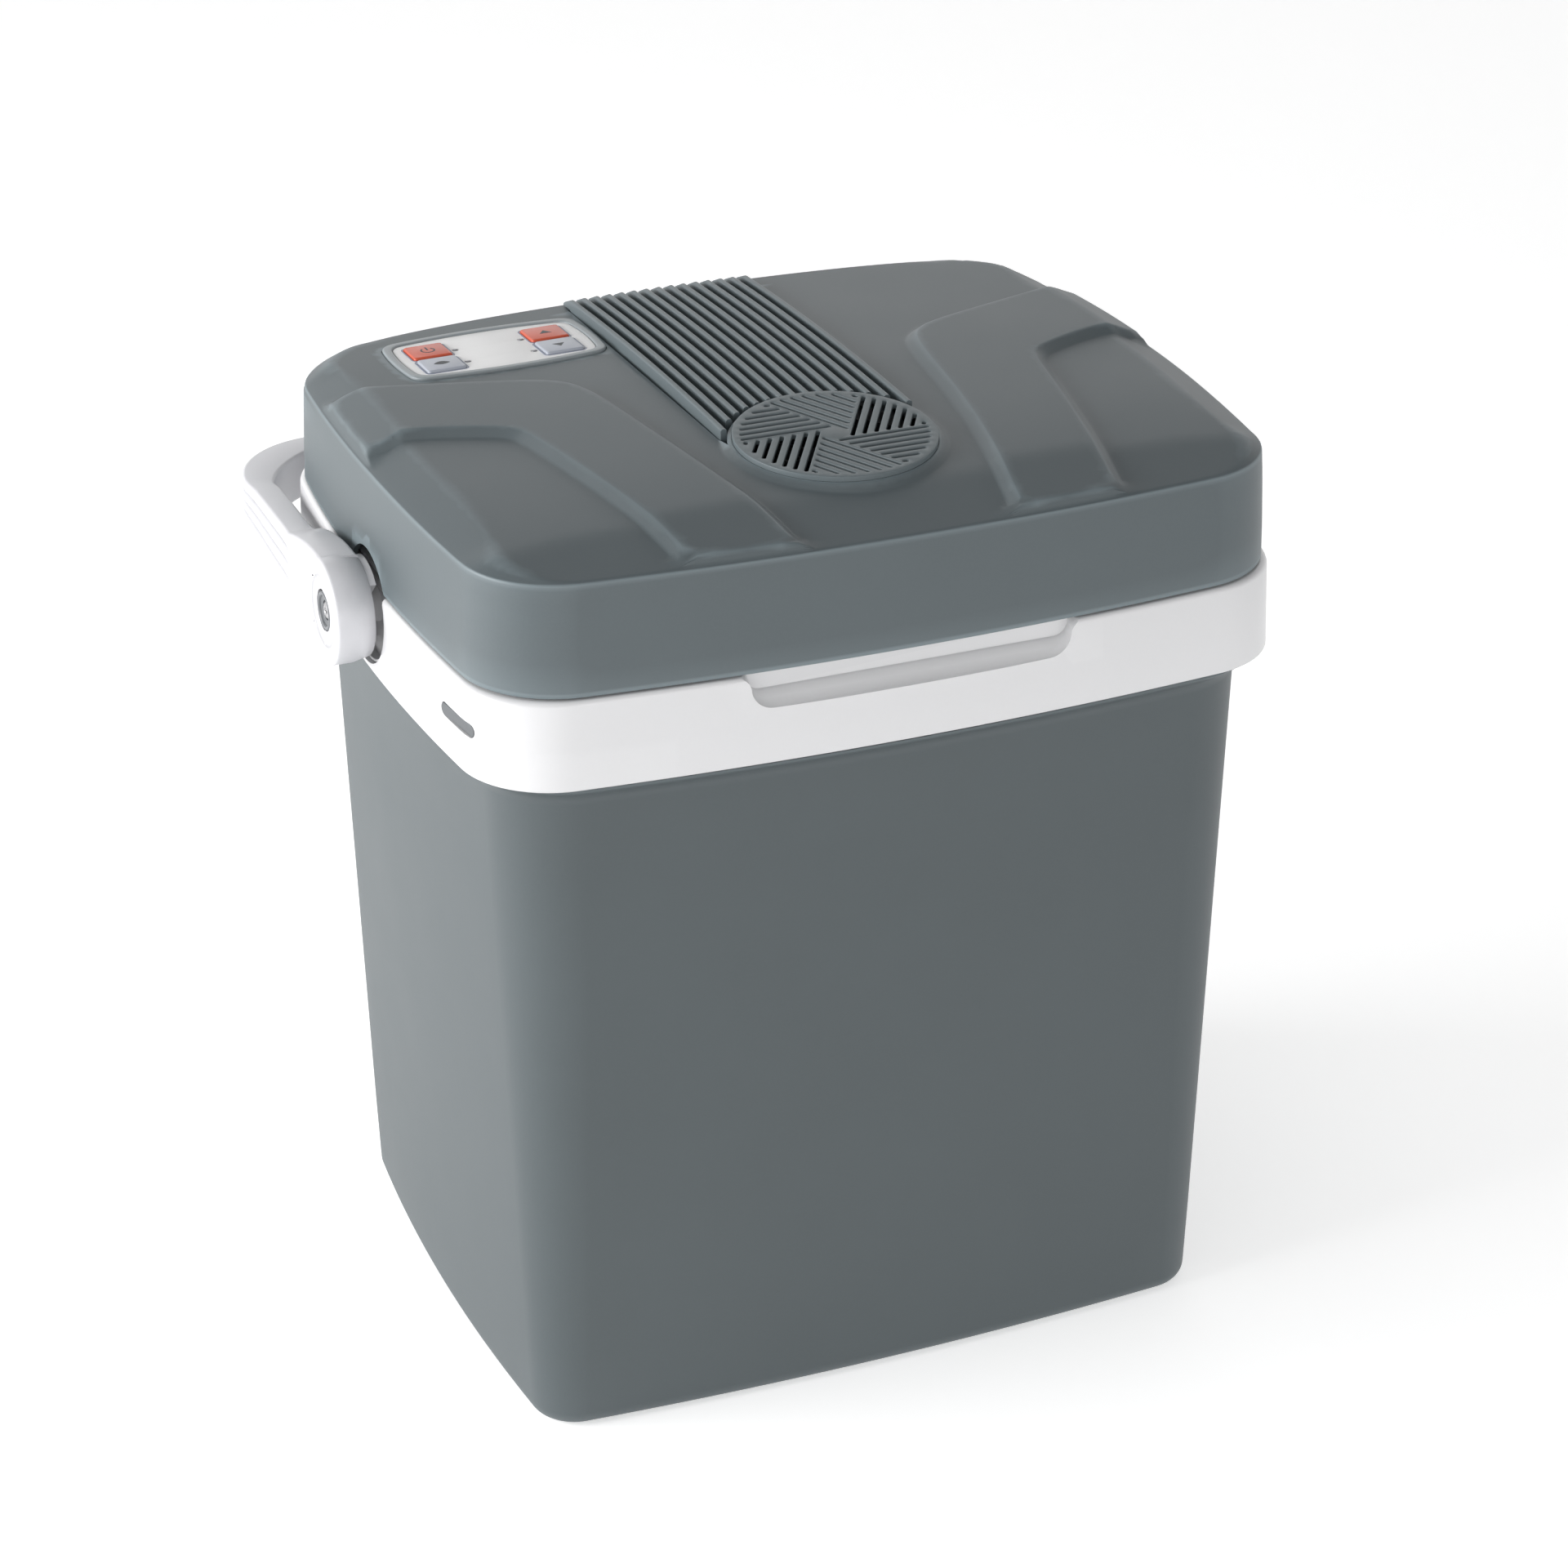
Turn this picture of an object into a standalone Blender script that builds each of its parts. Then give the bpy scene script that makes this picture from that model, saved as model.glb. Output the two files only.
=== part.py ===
"""Thermoelectric cool box: insulated tub, vented lid on a rear hinge and a swinging carry handle."""
import math
import bmesh
import bpy
from mathutils import Vector
from mathutils.geometry import delaunay_2d_cdt

# Driving dimensions, metres. X runs across, the front is -Y, Z is up, the floor is Z = 0.
LID_HALF_X = 0.1975
LID_HALF_Y = 0.1624
BOW_X = 0.0073
BOW_Y = 0.0057
CORNER = 0.043
COLLAR_LOW = 0.3450
COLLAR_TOP = 0.3868
LID_LOW = 0.3880
EDGE_FRONT = 0.4400
CROWN_TOP = 0.4500
CROWN_Y = -0.050
BASE_HALF_X = 0.1756
BASE_HALF_Y = 0.1413
BODY_TOP = 0.3330
BODY_SPREAD = 0.0119
WALL = 0.0025
GAP = 0.0003
PIVOT_Z = 0.3745
HUB_RADIUS = 0.0250
HUB_FACE = 0.2190
WELL_RADIUS = 0.0272
HINGE_Y = 0.1680
HINGE_Z = 0.3920
HINGE_X = 0.0750
DISC_Y = -0.0730
DISC_RADIUS = 0.0460
BOSS_RADIUS = 0.0475
BOSS_FOOT = 0.0515
RIB_COUNT = 15
RIB_PITCH = 0.00642
RIB_WIDTH = 0.0030
RIB_REAR = 0.1555
VENT_HALF = 0.0470
VENT_REAR = 0.1475
BAND_HEIGHT = 0.0040
BAND_SLOPE = 0.0050
PANEL_X = -0.0990
PANEL_Y = 0.1054
STACK_Y = -0.0550
FAN_BLADES = 7
RING_SIDES = 6
RING_TURNS = 5

# One raised band of the lid, right-hand side: the edge nearest the middle, then the edge nearest
# the corner panel. The left band is its mirror image.
BAND_INNER = [(0.0520, -0.1640), (0.0575, -0.1290), (0.0645, -0.0940), (0.0727, -0.0440),
              (0.0790, 0.0050), (0.0835, 0.0280), (0.0895, 0.0380), (0.1010, 0.0460),
              (0.1400, 0.0600), (0.1780, 0.0740), (0.2000, 0.0800)]
BAND_OUTER = [(0.2000, 0.0060), (0.1770, 0.0120), (0.1570, 0.0060), (0.1350, -0.0040),
              (0.1275, -0.0100), (0.1240, -0.0180), (0.1170, -0.0560), (0.1030, -0.1310),
              (0.0985, -0.1640)]

for old in list(bpy.data.objects):
    bpy.data.objects.remove(old, do_unlink=True)


def material(name, colour, roughness, metallic=0.0):
    """Plain surface of one colour."""
    made = bpy.data.materials.new(name)
    made.use_nodes = True
    shader = made.node_tree.nodes["Principled BSDF"]
    shader.inputs["Base Color"].default_value = (*colour, 1.0)
    shader.inputs["Roughness"].default_value = roughness
    shader.inputs["Metallic"].default_value = metallic
    made.diffuse_color = (*colour, 1.0)
    return made


GREY = material("grey_plastic", (0.150, 0.180, 0.195), 0.45)
WHITE = material("white_plastic", (0.80, 0.80, 0.82), 0.40)
LINER = material("liner_plastic", (0.62, 0.64, 0.66), 0.40)
FOAM = material("insulating_foam", (0.82, 0.76, 0.58), 0.90)
RUBBER = material("seal_rubber", (0.10, 0.10, 0.11), 0.80)
FRAME_GREY = material("frame_plastic", (0.36, 0.40, 0.42), 0.45)
LABEL = material("label_film", (0.66, 0.66, 0.66), 0.50)
ORANGE = material("orange_key", (0.60, 0.09, 0.035), 0.40)
KEY_GREY = material("grey_key", (0.38, 0.39, 0.43), 0.40)
LENS = material("led_lens", (0.20, 0.20, 0.22), 0.25)
BLACK = material("black_plastic", (0.02, 0.02, 0.022), 0.45)
ALUMINIUM = material("aluminium", (0.75, 0.76, 0.77), 0.35, 1.0)
STEEL = material("steel", (0.45, 0.45, 0.46), 0.35, 1.0)
CERAMIC = material("ceramic", (0.85, 0.85, 0.82), 0.50)
BOARD = material("circuit_board", (0.03, 0.16, 0.07), 0.50)
CAP_GREY = material("cap_plastic", (0.28, 0.29, 0.31), 0.40)


def finish(name, verts, faces, surface, origin=(0.0, 0.0, 0.0)):
    """Make an object from world coordinates, with its origin at the given point."""
    shift = Vector(origin)
    mesh = bpy.data.meshes.new(name)
    mesh.from_pydata([Vector(v) - shift for v in verts], [], faces)
    work = bmesh.new()
    work.from_mesh(mesh)
    bmesh.ops.remove_doubles(work, verts=work.verts, dist=1e-7)
    bmesh.ops.recalc_face_normals(work, faces=work.faces)
    for face in work.faces:
        face.smooth = True
    work.to_mesh(mesh)
    work.free()
    mesh.set_sharp_from_angle(angle=math.radians(34.0))
    if surface:
        mesh.materials.append(surface)
    made = bpy.data.objects.new(name, mesh)
    made.location = shift
    bpy.context.collection.objects.link(made)
    return made


def cut(target, tool, operation):
    """Join or subtract a hidden tool shape."""
    tool.hide_render = True
    tool.display_type = "WIRE"
    step = target.modifiers.new(tool.name, "BOOLEAN")
    step.operation = operation
    step.solver = "EXACT"
    step.object = tool


def merged(shapes):
    """Several solids as one list of points and faces."""
    verts, faces = [], []
    for some_verts, some_faces in shapes:
        start = len(verts)
        verts.extend(some_verts)
        faces.extend([tuple(k + start for k in face) for face in some_faces])
    return verts, faces


def shallow_arc(start, end, rise, outward, steps):
    """Points of a shallow arc between two corners, each with its outward direction."""
    start, end, outward = Vector(start), Vector(end), Vector(outward)
    chord = (end - start).length
    if rise < 1e-6 or chord < 1e-6:
        return [(start.lerp(end, k / steps), outward) for k in range(steps + 1)]
    radius = (chord * chord / 4 + rise * rise) / (2 * rise)
    centre = (start + end) / 2 - outward * (radius - rise)
    along = (end - start) / chord
    half = math.asin(chord / 2 / radius)
    out = []
    for k in range(steps + 1):
        turn = half * (2 * k / steps - 1)
        normal = along * math.sin(turn) + outward * math.cos(turn)
        out.append((centre + normal * radius, normal))
    return out


def outline(half_x, half_y, bow_x=0.0, bow_y=0.0, corner=0.01, centre=(0.0, 0.0),
            sides=RING_SIDES, turns=RING_TURNS):
    """A rectangle with bowed sides and round corners, anticlockwise."""
    ax, ay = half_x - corner - bow_y, half_y - corner - bow_x
    sides_list = [((-ax, -ay), (ax, -ay), (0, -1), bow_x), ((ax, -ay), (ax, ay), (1, 0), bow_y),
                  ((ax, ay), (-ax, ay), (0, 1), bow_x), ((-ax, ay), (-ax, -ay), (-1, 0), bow_y)]
    arcs = [shallow_arc(p, q, rise, out, sides) for p, q, out, rise in sides_list]
    points = []
    for k, arc in enumerate(arcs):
        points.extend(p + n * corner for p, n in arc)
        here, there = arc[-1][1], arcs[(k + 1) % 4][0][1]
        first = math.atan2(here.y, here.x)
        sweep = (math.atan2(there.y, there.x) - first) % (2 * math.pi)
        for step in range(1, turns):
            angle = first + sweep * step / turns
            points.append(arc[-1][0] + Vector((math.cos(angle), math.sin(angle))) * corner)
    return [(p.x + centre[0], p.y + centre[1]) for p in points]


def circle(radius, count, centre=(0.0, 0.0), first=0.0):
    """Points round a circle."""
    return [(centre[0] + radius * math.cos(first + 2 * math.pi * k / count),
             centre[1] + radius * math.sin(first + 2 * math.pi * k / count)) for k in range(count)]


def loft(rings, closed=False):
    """Skin a stack of (outline, height) rings. A closed stack is a hollow ring, an open one is capped."""
    count = len(rings[0][0])
    verts = [(x, y, z) for ring, z in rings for x, y in ring]
    faces = []
    for k in range(len(rings) if closed else len(rings) - 1):
        low, high = k * count, ((k + 1) % len(rings)) * count
        for j in range(count):
            nxt = (j + 1) % count
            faces.append((low + j, low + nxt, high + nxt, high + j))
    if not closed:
        faces.append(tuple(range(count))[::-1])
        faces.append(tuple(range(len(verts) - count, len(verts))))
    return verts, faces


def prism(points, low, high, axis="z"):
    """A flat outline pulled straight along one axis."""
    count = len(points)
    flat = [(p[0], p[1], level) for level in (low, high) for p in points]
    if axis == "x":
        flat = [(c, a, b) for a, b, c in flat]
    if axis == "y":
        flat = [(a, c, b) for a, b, c in flat]
    faces = [(k, (k + 1) % count, count + (k + 1) % count, count + k) for k in range(count)]
    faces.append(tuple(range(count))[::-1])
    faces.append(tuple(range(count, 2 * count)))
    return flat, faces


def box(x0, x1, y0, y1, z0, z1):
    """A plain block."""
    return prism([(x0, y0), (x1, y0), (x1, y1), (x0, y1)], z0, z1)


def turned(profile, count, centre, side=1.0, closed=True):
    """A profile of (radius, x) turned about a line along X. An open one starts and ends on the axis."""
    verts, faces = [], []
    for radius, along in profile:
        for k in range(count):
            angle = 2 * math.pi * k / count
            verts.append((side * along, centre[0] + radius * math.cos(angle),
                          centre[1] + radius * math.sin(angle)))
    rows = len(profile)
    for row in range(rows if closed else rows - 1):
        low, high = row * count, ((row + 1) % rows) * count
        for k in range(count):
            nxt = (k + 1) % count
            faces.append((low + k, low + nxt, high + nxt, high + k))
    if not closed:
        faces.append(tuple(range(count)))
        faces.append(tuple(range(len(verts) - count, len(verts))))
    return verts, faces


def inside(point, polygon):
    """True where a point lies within an outline."""
    x, y = point
    odd = False
    for k, (x0, y0) in enumerate(polygon):
        x1, y1 = polygon[k - 1]
        if (y0 > y) != (y1 > y) and x < (x1 - x0) * (y - y0) / (y1 - y0) + x0:
            odd = not odd
    return odd


def triangulate(outer, holes=(), lines=(), points=()):
    """Triangles that fill an outline, follow the given lines and leave the holes open."""
    coords, edges = [], []
    for path, closed in [(outer, True)] + [(h, True) for h in holes] + [(p, False) for p in lines]:
        start = len(coords)
        coords.extend(Vector(p) for p in path)
        for k in range(len(path) if closed else len(path) - 1):
            edges.append((start + k, start + (k + 1) % len(path)))
    coords.extend(Vector(p) for p in points)
    flat, _, tris = delaunay_2d_cdt(coords, edges, [], 0, 1e-6)[:3]
    kept = []
    for tri in tris:
        middle = sum((flat[k] for k in tri), Vector((0.0, 0.0))) / len(tri)
        if inside(middle, outer) and not any(inside(middle, hole) for hole in holes):
            kept.append(tuple(tri))
    uses = {}
    for tri in kept:
        for a, b in zip(tri, tri[1:] + tri[:1]):
            uses[(a, b)] = True
    rim = [(a, b) for a, b in uses if (b, a) not in uses]
    used = sorted({k for tri in kept for k in tri})
    index = {old: new for new, old in enumerate(used)}
    flat = [(flat[k].x, flat[k].y) for k in used]
    kept = [tuple(index[k] for k in tri) for tri in kept]
    rim = [(index[a], index[b]) for a, b in rim]
    return flat, kept, rim


def slab(outer, holes, low, high):
    """A plate with holes; low and high are heights or functions of x and y."""
    flat, tris, rim = triangulate(outer, holes)
    lower = low if callable(low) else lambda x, y: low
    upper = high if callable(high) else lambda x, y: high
    count = len(flat)
    verts = [(x, y, upper(x, y)) for x, y in flat] + [(x, y, lower(x, y)) for x, y in flat]
    faces = list(tris) + [tuple(k + count for k in tri[::-1]) for tri in tris]
    faces.extend((b, a, a + count, b + count) for a, b in rim)
    return verts, faces


def swap_yz(shape):
    """Turn a plate that lies flat into one that faces the rear."""
    return [(x, z, y) for x, y, z in shape[0]], shape[1]


# ---- heights of the lid's top ----

def edge_height(x, y):
    """Height of the edge between the lid's side wall and its top."""
    back = max(0.0, y - CROWN_Y)
    rise = 0.0090 * max(0.0, min(1.0, (y - 0.060) / 0.090)) ** 2 * (1 - min(1.0, abs(x) / 0.190) ** 4)
    return EDGE_FRONT - 0.20 * back * back + rise


def crown(x, y):
    """Height of the gently arched main surface."""
    rate = 0.50 if y < CROWN_Y else 0.215
    return CROWN_TOP - rate * (y - CROWN_Y) ** 2 - 0.002 * (x / 0.18) ** 2


def half_sizes(x, y):
    """Half width and half depth of the lid's bowed top outline, level with one point."""
    straight_x = LID_HALF_X - 0.003 - CORNER - BOW_Y
    straight_y = LID_HALF_Y - 0.003 - CORNER - BOW_X
    half_x = LID_HALF_X - 0.003 - BOW_Y * min(1.0, abs(y) / straight_y) ** 2
    half_y = LID_HALF_Y - 0.003 - BOW_X * min(1.0, abs(x) / straight_x) ** 2
    return half_x, half_y


def edge_distance(x, y):
    """Distance inwards from the lid's rounded outline."""
    half_x, half_y = half_sizes(x, y)
    qx, qy = abs(x) - half_x + CORNER, abs(y) - half_y + CORNER
    return CORNER - math.hypot(max(qx, 0.0), max(qy, 0.0)) - min(max(qx, qy), 0.0)


def segment_distance(x, y, p, q):
    """Distance from a point to a straight piece."""
    dx, dy = q[0] - p[0], q[1] - p[1]
    t = max(0.0, min(1.0, ((x - p[0]) * dx + (y - p[1]) * dy) / (dx * dx + dy * dy)))
    return math.hypot(x - p[0] - t * dx, y - p[1] - t * dy)


def band_share(x, y):
    """1 on a raised band, falling to 0 down its sloped sides and at the lid's edge."""
    point = (abs(x), y)
    shape = BAND_INNER + BAND_OUTER
    if inside(point, shape):
        share = 1.0
    else:
        near = min(segment_distance(*point, path[k], path[k + 1])
                   for path in (BAND_INNER, BAND_OUTER) for k in range(len(path) - 1))
        share = max(0.0, 1.0 - near / BAND_SLOPE)
    return min(share, max(0.0, min(1.0, edge_distance(x, y) / 0.005)))


def disc_height(y):
    """Height of the fan grille's upper face, which leans a little to the front."""
    return 0.4543 + 0.040 * (y - DISC_Y)


def lid_height(x, y):
    """Height of the lid's upper surface with its bevels, bands and grille boss."""
    edge = edge_height(x, y)
    half_x, half_y = half_sizes(x, y)
    front = edge + 7 / 36 * (half_y + y)
    side = edge + 7 / 16 * (half_x - abs(x))
    rear = edge + 0.50 * (half_y - y)
    corner = edge + 0.60 * edge_distance(x, y)
    level = min(front, side, rear, corner, crown(x, y))
    level += BAND_HEIGHT * band_share(x, y)
    reach = math.hypot(x, y - DISC_Y)
    if reach < BOSS_FOOT:
        boss = disc_height(y) - 0.0027
        share = max(0.0, min(1.0, (BOSS_FOOT - reach) / (BOSS_FOOT - BOSS_RADIUS)))
        level += (boss - level) * share
    return level


def panel_plane(x, y):
    """Plane of the control panel, touching the lid's surface at the panel's middle."""
    slope = -0.43 * (PANEL_Y - CROWN_Y)
    return crown(PANEL_X, PANEL_Y) + slope * (y - PANEL_Y) + 0.0122 * (x - PANEL_X)


# ---- insulated body ----

def body_ring(height, inset=0.0):
    """Outline of the tapered body at one height."""
    share = min(height, BODY_TOP) / BODY_TOP
    spread = BODY_SPREAD * share - inset
    corner = max(0.006, 0.0227 + 0.0173 * share - inset)
    return outline(BASE_HALF_X + spread, BASE_HALF_Y + spread, 0.0056 + 0.0014 * share, 0.0055, corner)


def build_body():
    """Outer shell, foam and liner."""
    rings = []
    for step in range(5):
        angle = math.radians(22.5 * step)
        rings.append((body_ring(0.0, 0.008 * (1 - math.sin(angle))), 0.008 * (1 - math.cos(angle))))
    for height, inset in [(BODY_TOP, 0.0), (0.3370, -0.0022), (0.3405, -0.0060), (0.3430, -0.0100),
                          (0.3446, -0.0105), (0.3446, 0.0028), (0.0110, 0.0028), (0.0030, 0.0110)]:
        rings.append((body_ring(height, inset), height))
    finish("body_shell", *loft(rings), GREY)

    foam = [(body_ring(0.0036, 0.0120), 0.0036), (body_ring(0.0118, 0.0037), 0.0118),
            (body_ring(0.3446, 0.0037), 0.3446), (body_ring(0.3835, 0.0037), 0.3835),
            (outline(0.1569, 0.1229, 0.004, 0.003, 0.0324), 0.3835),
            (outline(0.1474, 0.1134, 0.004, 0.003, 0.0264), 0.0407),
            (outline(0.1394, 0.1054, 0.004, 0.003, 0.0184), 0.0327)]
    finish("body_foam", *loft(foam), FOAM)

    liner = [(outline(0.1390, 0.1050, 0.004, 0.003, 0.018), 0.0330),
             (outline(0.1470, 0.1130, 0.004, 0.003, 0.026), 0.0410),
             (outline(0.1565, 0.1225, 0.004, 0.003, 0.032), 0.3841),
             (outline(0.1695, 0.1355, 0.004, 0.003, 0.040), 0.3841),
             (outline(0.1695, 0.1355, 0.004, 0.003, 0.040), 0.3862),
             (outline(0.1545, 0.1205, 0.004, 0.003, 0.030), 0.3862),
             (outline(0.1450, 0.1110, 0.004, 0.003, 0.024), 0.0430),
             (outline(0.1375, 0.1035, 0.004, 0.003, 0.0165), 0.0352)]
    finish("inner_liner", *loft(liner), LINER)


def recess_outline(grow, top):
    """Front view of the finger recess."""
    half_top, half_low, low, turn = 0.082 + grow, 0.062 + grow, 0.3708 - grow, 0.010
    right = [(half_top, top), (half_top - 0.003, 0.3830)]
    right += [(half_low + 0.008, low + 0.004), (half_low + 0.003, low + 0.001), (half_low - turn / 2, low)]
    return [(-x, z) for x, z in right] + right[::-1]


def slot_tool(side, grow, deep, shallow):
    """A rounded slot through the collar's side near the front corner."""
    points = []
    for end, first in ((0.0125, -90), (-0.0125, 90)):
        for step in range(9):
            angle = math.radians(first + 22.5 * step)
            points.append((end + (0.0030 + grow) * math.cos(angle), (0.0030 + grow) * math.sin(angle)))
    verts, faces = prism(points, deep, shallow, "x")
    lean = math.radians(8.5)
    out = []
    for x, y, z in verts:
        wx = 0.1937 + x * math.cos(lean) + y * math.sin(lean)
        wy = -0.1135 + y * math.cos(lean) - x * math.sin(lean)
        out.append((side * wx, wy, 0.3667 + z))
    return out, faces


def knuckle(x0, x1, arm):
    """One hinge knuckle: a barrel on the hinge line with an arm to its wall."""
    barrel = [(HINGE_Y + 0.0038 * math.cos(math.radians(a)), HINGE_Z + 0.0038 * math.sin(math.radians(a)))
              for a in arm["angles"]]
    return prism(barrel + arm["points"], x0, x1, "x")


COLLAR_ARM = {"angles": range(-60, 181, 24), "points": [(0.1642, 0.3850), (0.1585, 0.3800), (0.1585, 0.3760)]}
LID_ARM = {"angles": range(-170, 71, 24), "points": [(0.1640, 0.4010), (0.1592, 0.4030), (0.1592, 0.3935)]}


def build_collar():
    """White collar with its recess, hinge lugs, pivot openings and side slots."""
    rings = [(outline(0.1995, 0.1644, BOW_X, BOW_Y, CORNER), COLLAR_LOW),
             (outline(0.1985, 0.1634, BOW_X, BOW_Y, CORNER), 0.3850),
             (outline(0.1979, 0.1628, BOW_X, BOW_Y, CORNER), 0.3864),
             (outline(0.1965, 0.1614, BOW_X, BOW_Y, CORNER), COLLAR_TOP),
             (outline(0.1700, 0.1360, 0.004, 0.003, 0.0405), COLLAR_TOP),
             (outline(0.1700, 0.1360, 0.004, 0.003, 0.0405), 0.3838),
             (outline(0.1960, 0.1609, BOW_X, BOW_Y, CORNER - 0.0025), 0.3838),
             (outline(0.1970, 0.1619, BOW_X, BOW_Y, CORNER - 0.0025), COLLAR_LOW)]
    collar = finish("collar", *loft(rings, closed=True), WHITE)
    pocket = prism(recess_outline(0.0024, 0.3852), -0.1632, -0.1532, "y")
    lugs = [knuckle(side * a, side * b, COLLAR_ARM) for side in (-1, 1)
            for a, b in ((0.0600, 0.0680), (0.0820, 0.0900))]
    cut(collar, finish("collar_additions", *merged([pocket] + lugs), None), "UNION")
    scoop = prism(recess_outline(0.0, 0.3900), -0.1750, -0.1557, "y")
    wells = [turned([(WELL_RADIUS, 0.1935), (WELL_RADIUS, 0.2100)], 32, (0.0, PIVOT_Z), side, False) for side in (-1, 1)]
    slots = [slot_tool(side, 0.0003, -0.008, 0.008) for side in (-1, 1)]
    bores = [prism(circle(0.0019, 12, (HINGE_Y, HINGE_Z)), side * 0.0590, side * 0.0910, "x")
             for side in (-1, 1)]
    cut(collar, finish("collar_openings", *merged([scoop] + wells + slots + bores), None), "DIFFERENCE")
    for side, word in ((-1, "left"), (1, "right")):
        finish("slot_insert_" + word, *slot_tool(side, 0.0, -0.0030, -0.0006), CAP_GREY)
        finish("hinge_pin_" + word, *prism(circle(0.0016, 12, (HINGE_Y, HINGE_Z)), side * 0.0595,
                                           side * 0.0905, "x"), STEEL)


def build_pivots():
    """Bearing cups, pins, screws and cover rings of the handle."""
    for side, word in ((-1, "left"), (1, "right")):
        cup = [(0.0053, 0.1900), (0.0287, 0.1900), (0.0287, 0.1928), (0.0268, 0.1928), (0.0268, 0.1976),
               (0.0254, 0.1976), (0.0254, 0.1930), (0.0085, 0.1930), (0.0085, 0.1975), (0.0053, 0.1975)]
        made = finish("handle_bearing_" + word, *turned(cup, 24, (0.0, PIVOT_Z), side), WHITE)
        top = finish("bearing_trim_" + word, *box(-0.25, 0.25, -0.05, 0.05, 0.3834, 0.43), None)
        cut(made, top, "DIFFERENCE")
        pin = [(0.0022, 0.1875), (0.0050, 0.1875), (0.0050, 0.2139), (0.0022, 0.2139)]
        finish("pivot_pin_" + word, *turned(pin, 16, (0.0, PIVOT_Z), side), STEEL)
        ring = [(0.0047, 0.2156), (0.0095, 0.2156), (0.0095, 0.2176), (0.0088, 0.2182), (0.0047, 0.2182)]
        finish("pivot_cap_" + word, *turned(ring, 20, (0.0, PIVOT_Z), side), CAP_GREY)
        screw = [(0.0019, 0.1950), (0.0019, 0.2142), (0.0042, 0.2142), (0.0042, 0.2164), (0.0034, 0.2173)]
        finish("pivot_screw_" + word, *turned(screw, 14, (0.0, PIVOT_Z), side, False), STEEL)


# ---- handle ----

ARM = [  # y, outer x, lower z, upper z, groove share
    (0.000, 0.2188, 0.3498, 0.3994, 0.0), (0.020, 0.2188, 0.3496, 0.3985, 0.0),
    (0.040, 0.2188, 0.3495, 0.3948, 0.0), (0.054, 0.2182, 0.3495, 0.3905, 0.0),
    (0.062, 0.2163, 0.3498, 0.3868, 0.3), (0.070, 0.2146, 0.3503, 0.3845, 1.0),
    (0.085, 0.2140, 0.3512, 0.3838, 1.0), (0.105, 0.2140, 0.3535, 0.3836, 1.0),
    (0.125, 0.2140, 0.3562, 0.3832, 1.0)]
GROOVES = [(0.05, 0.0), (0.22, 0.0), (0.27, 1.0), (0.32, 0.0), (0.46, 0.0), (0.51, 1.0), (0.56, 0.0),
           (0.70, 0.0), (0.75, 1.0), (0.80, 0.0), (0.95, 0.0)]


def handle_stations():
    """Half of the handle's path: inner point, outer point, lower and upper height, groove share."""
    out = [((0.2008, y), (x, y), low, high, groove) for y, x, low, high, groove in ARM]
    for step in range(6):
        angle = math.radians(18 * step)
        inner = (0.1648 + 0.036 * math.cos(angle), 0.1345 + 0.036 * math.sin(angle))
        outer = (0.1690 + 0.045 * math.cos(angle), 0.1395 + 0.045 * math.sin(angle))
        out.append((inner, outer, 0.3585, 0.3815, 1.0))
    for step in range(1, 6):
        share = 1 - step / 5
        inner = (0.1648 * share, 0.1775 - 0.007 * share ** 2)
        outer = (0.1690 * share, 0.1925 - 0.008 * share ** 2)
        out.append((inner, outer, 0.3588, 0.3812, 1.0))
    return out


def handle_section(station, side):
    """One cross-section of the handle with chamfered corners and a grooved outer side."""
    (ix, iy), (ox, oy), low, high, groove = station
    tall = high - low
    ring = [(0.12, low), (0.88, low)]
    ring += [(1.0 - 0.10 * groove * deep, low + tall * share) for share, deep in GROOVES]
    ring += [(0.88, high), (0.12, high), (0.0, high - 0.06 * tall), (0.0, low + 0.06 * tall)]
    return [(side * (ix + (ox - ix) * a), iy + (oy - iy) * a, z) for a, z in ring]


def build_handle():
    """Carry handle: two arms, a crossbar and two hubs on the pivot line."""
    half = handle_stations()
    sections = [handle_section(s, 1) for s in half] + [handle_section(s, -1) for s in half[-2::-1]]
    count = len(sections[0])
    verts = [p for ring in sections for p in ring]
    faces = [(k * count + j, k * count + (j + 1) % count, (k + 1) * count + (j + 1) % count,
              (k + 1) * count + j) for k in range(len(sections) - 1) for j in range(count)]
    faces.append(tuple(range(count))[::-1])
    faces.append(tuple(range(len(verts) - count, len(verts))))
    origin = (0.0, 0.0, PIVOT_Z)
    handle = finish("handle", verts, faces, WHITE, origin)
    hubs, bores = [], []
    for side in (-1, 1):
        hub = [(HUB_RADIUS, 0.2007), (HUB_RADIUS, HUB_FACE - 0.001), (HUB_RADIUS - 0.001, HUB_FACE)]
        hubs.append(turned(hub, 36, (0.0, PIVOT_Z), side, False))
        bore = [(0.0053, 0.1900), (0.0053, 0.2152), (0.0098, 0.2152), (0.0098, 0.2300)]
        bores.append(turned(bore, 24, (0.0, PIVOT_Z), side, False))
    cut(handle, finish("handle_hubs", *merged(hubs), None), "UNION")
    sectors = []
    for side in (-1, 1):
        arc = [math.radians(15 + 15 * k) for k in range(11)]
        points = [(0.0240 * math.cos(a), PIVOT_Z + 0.0240 * math.sin(a)) for a in arc]
        points += [(0.0105 * math.cos(a), PIVOT_Z + 0.0105 * math.sin(a)) for a in arc[::-1]]
        sectors.append(prism(points, side * 0.1981, side * 0.2020, "x"))
    cut(handle, finish("handle_cams", *merged(sectors), None), "UNION")
    cut(handle, finish("handle_bores", *merged(bores), None), "DIFFERENCE")


# ---- lid ----

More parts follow.
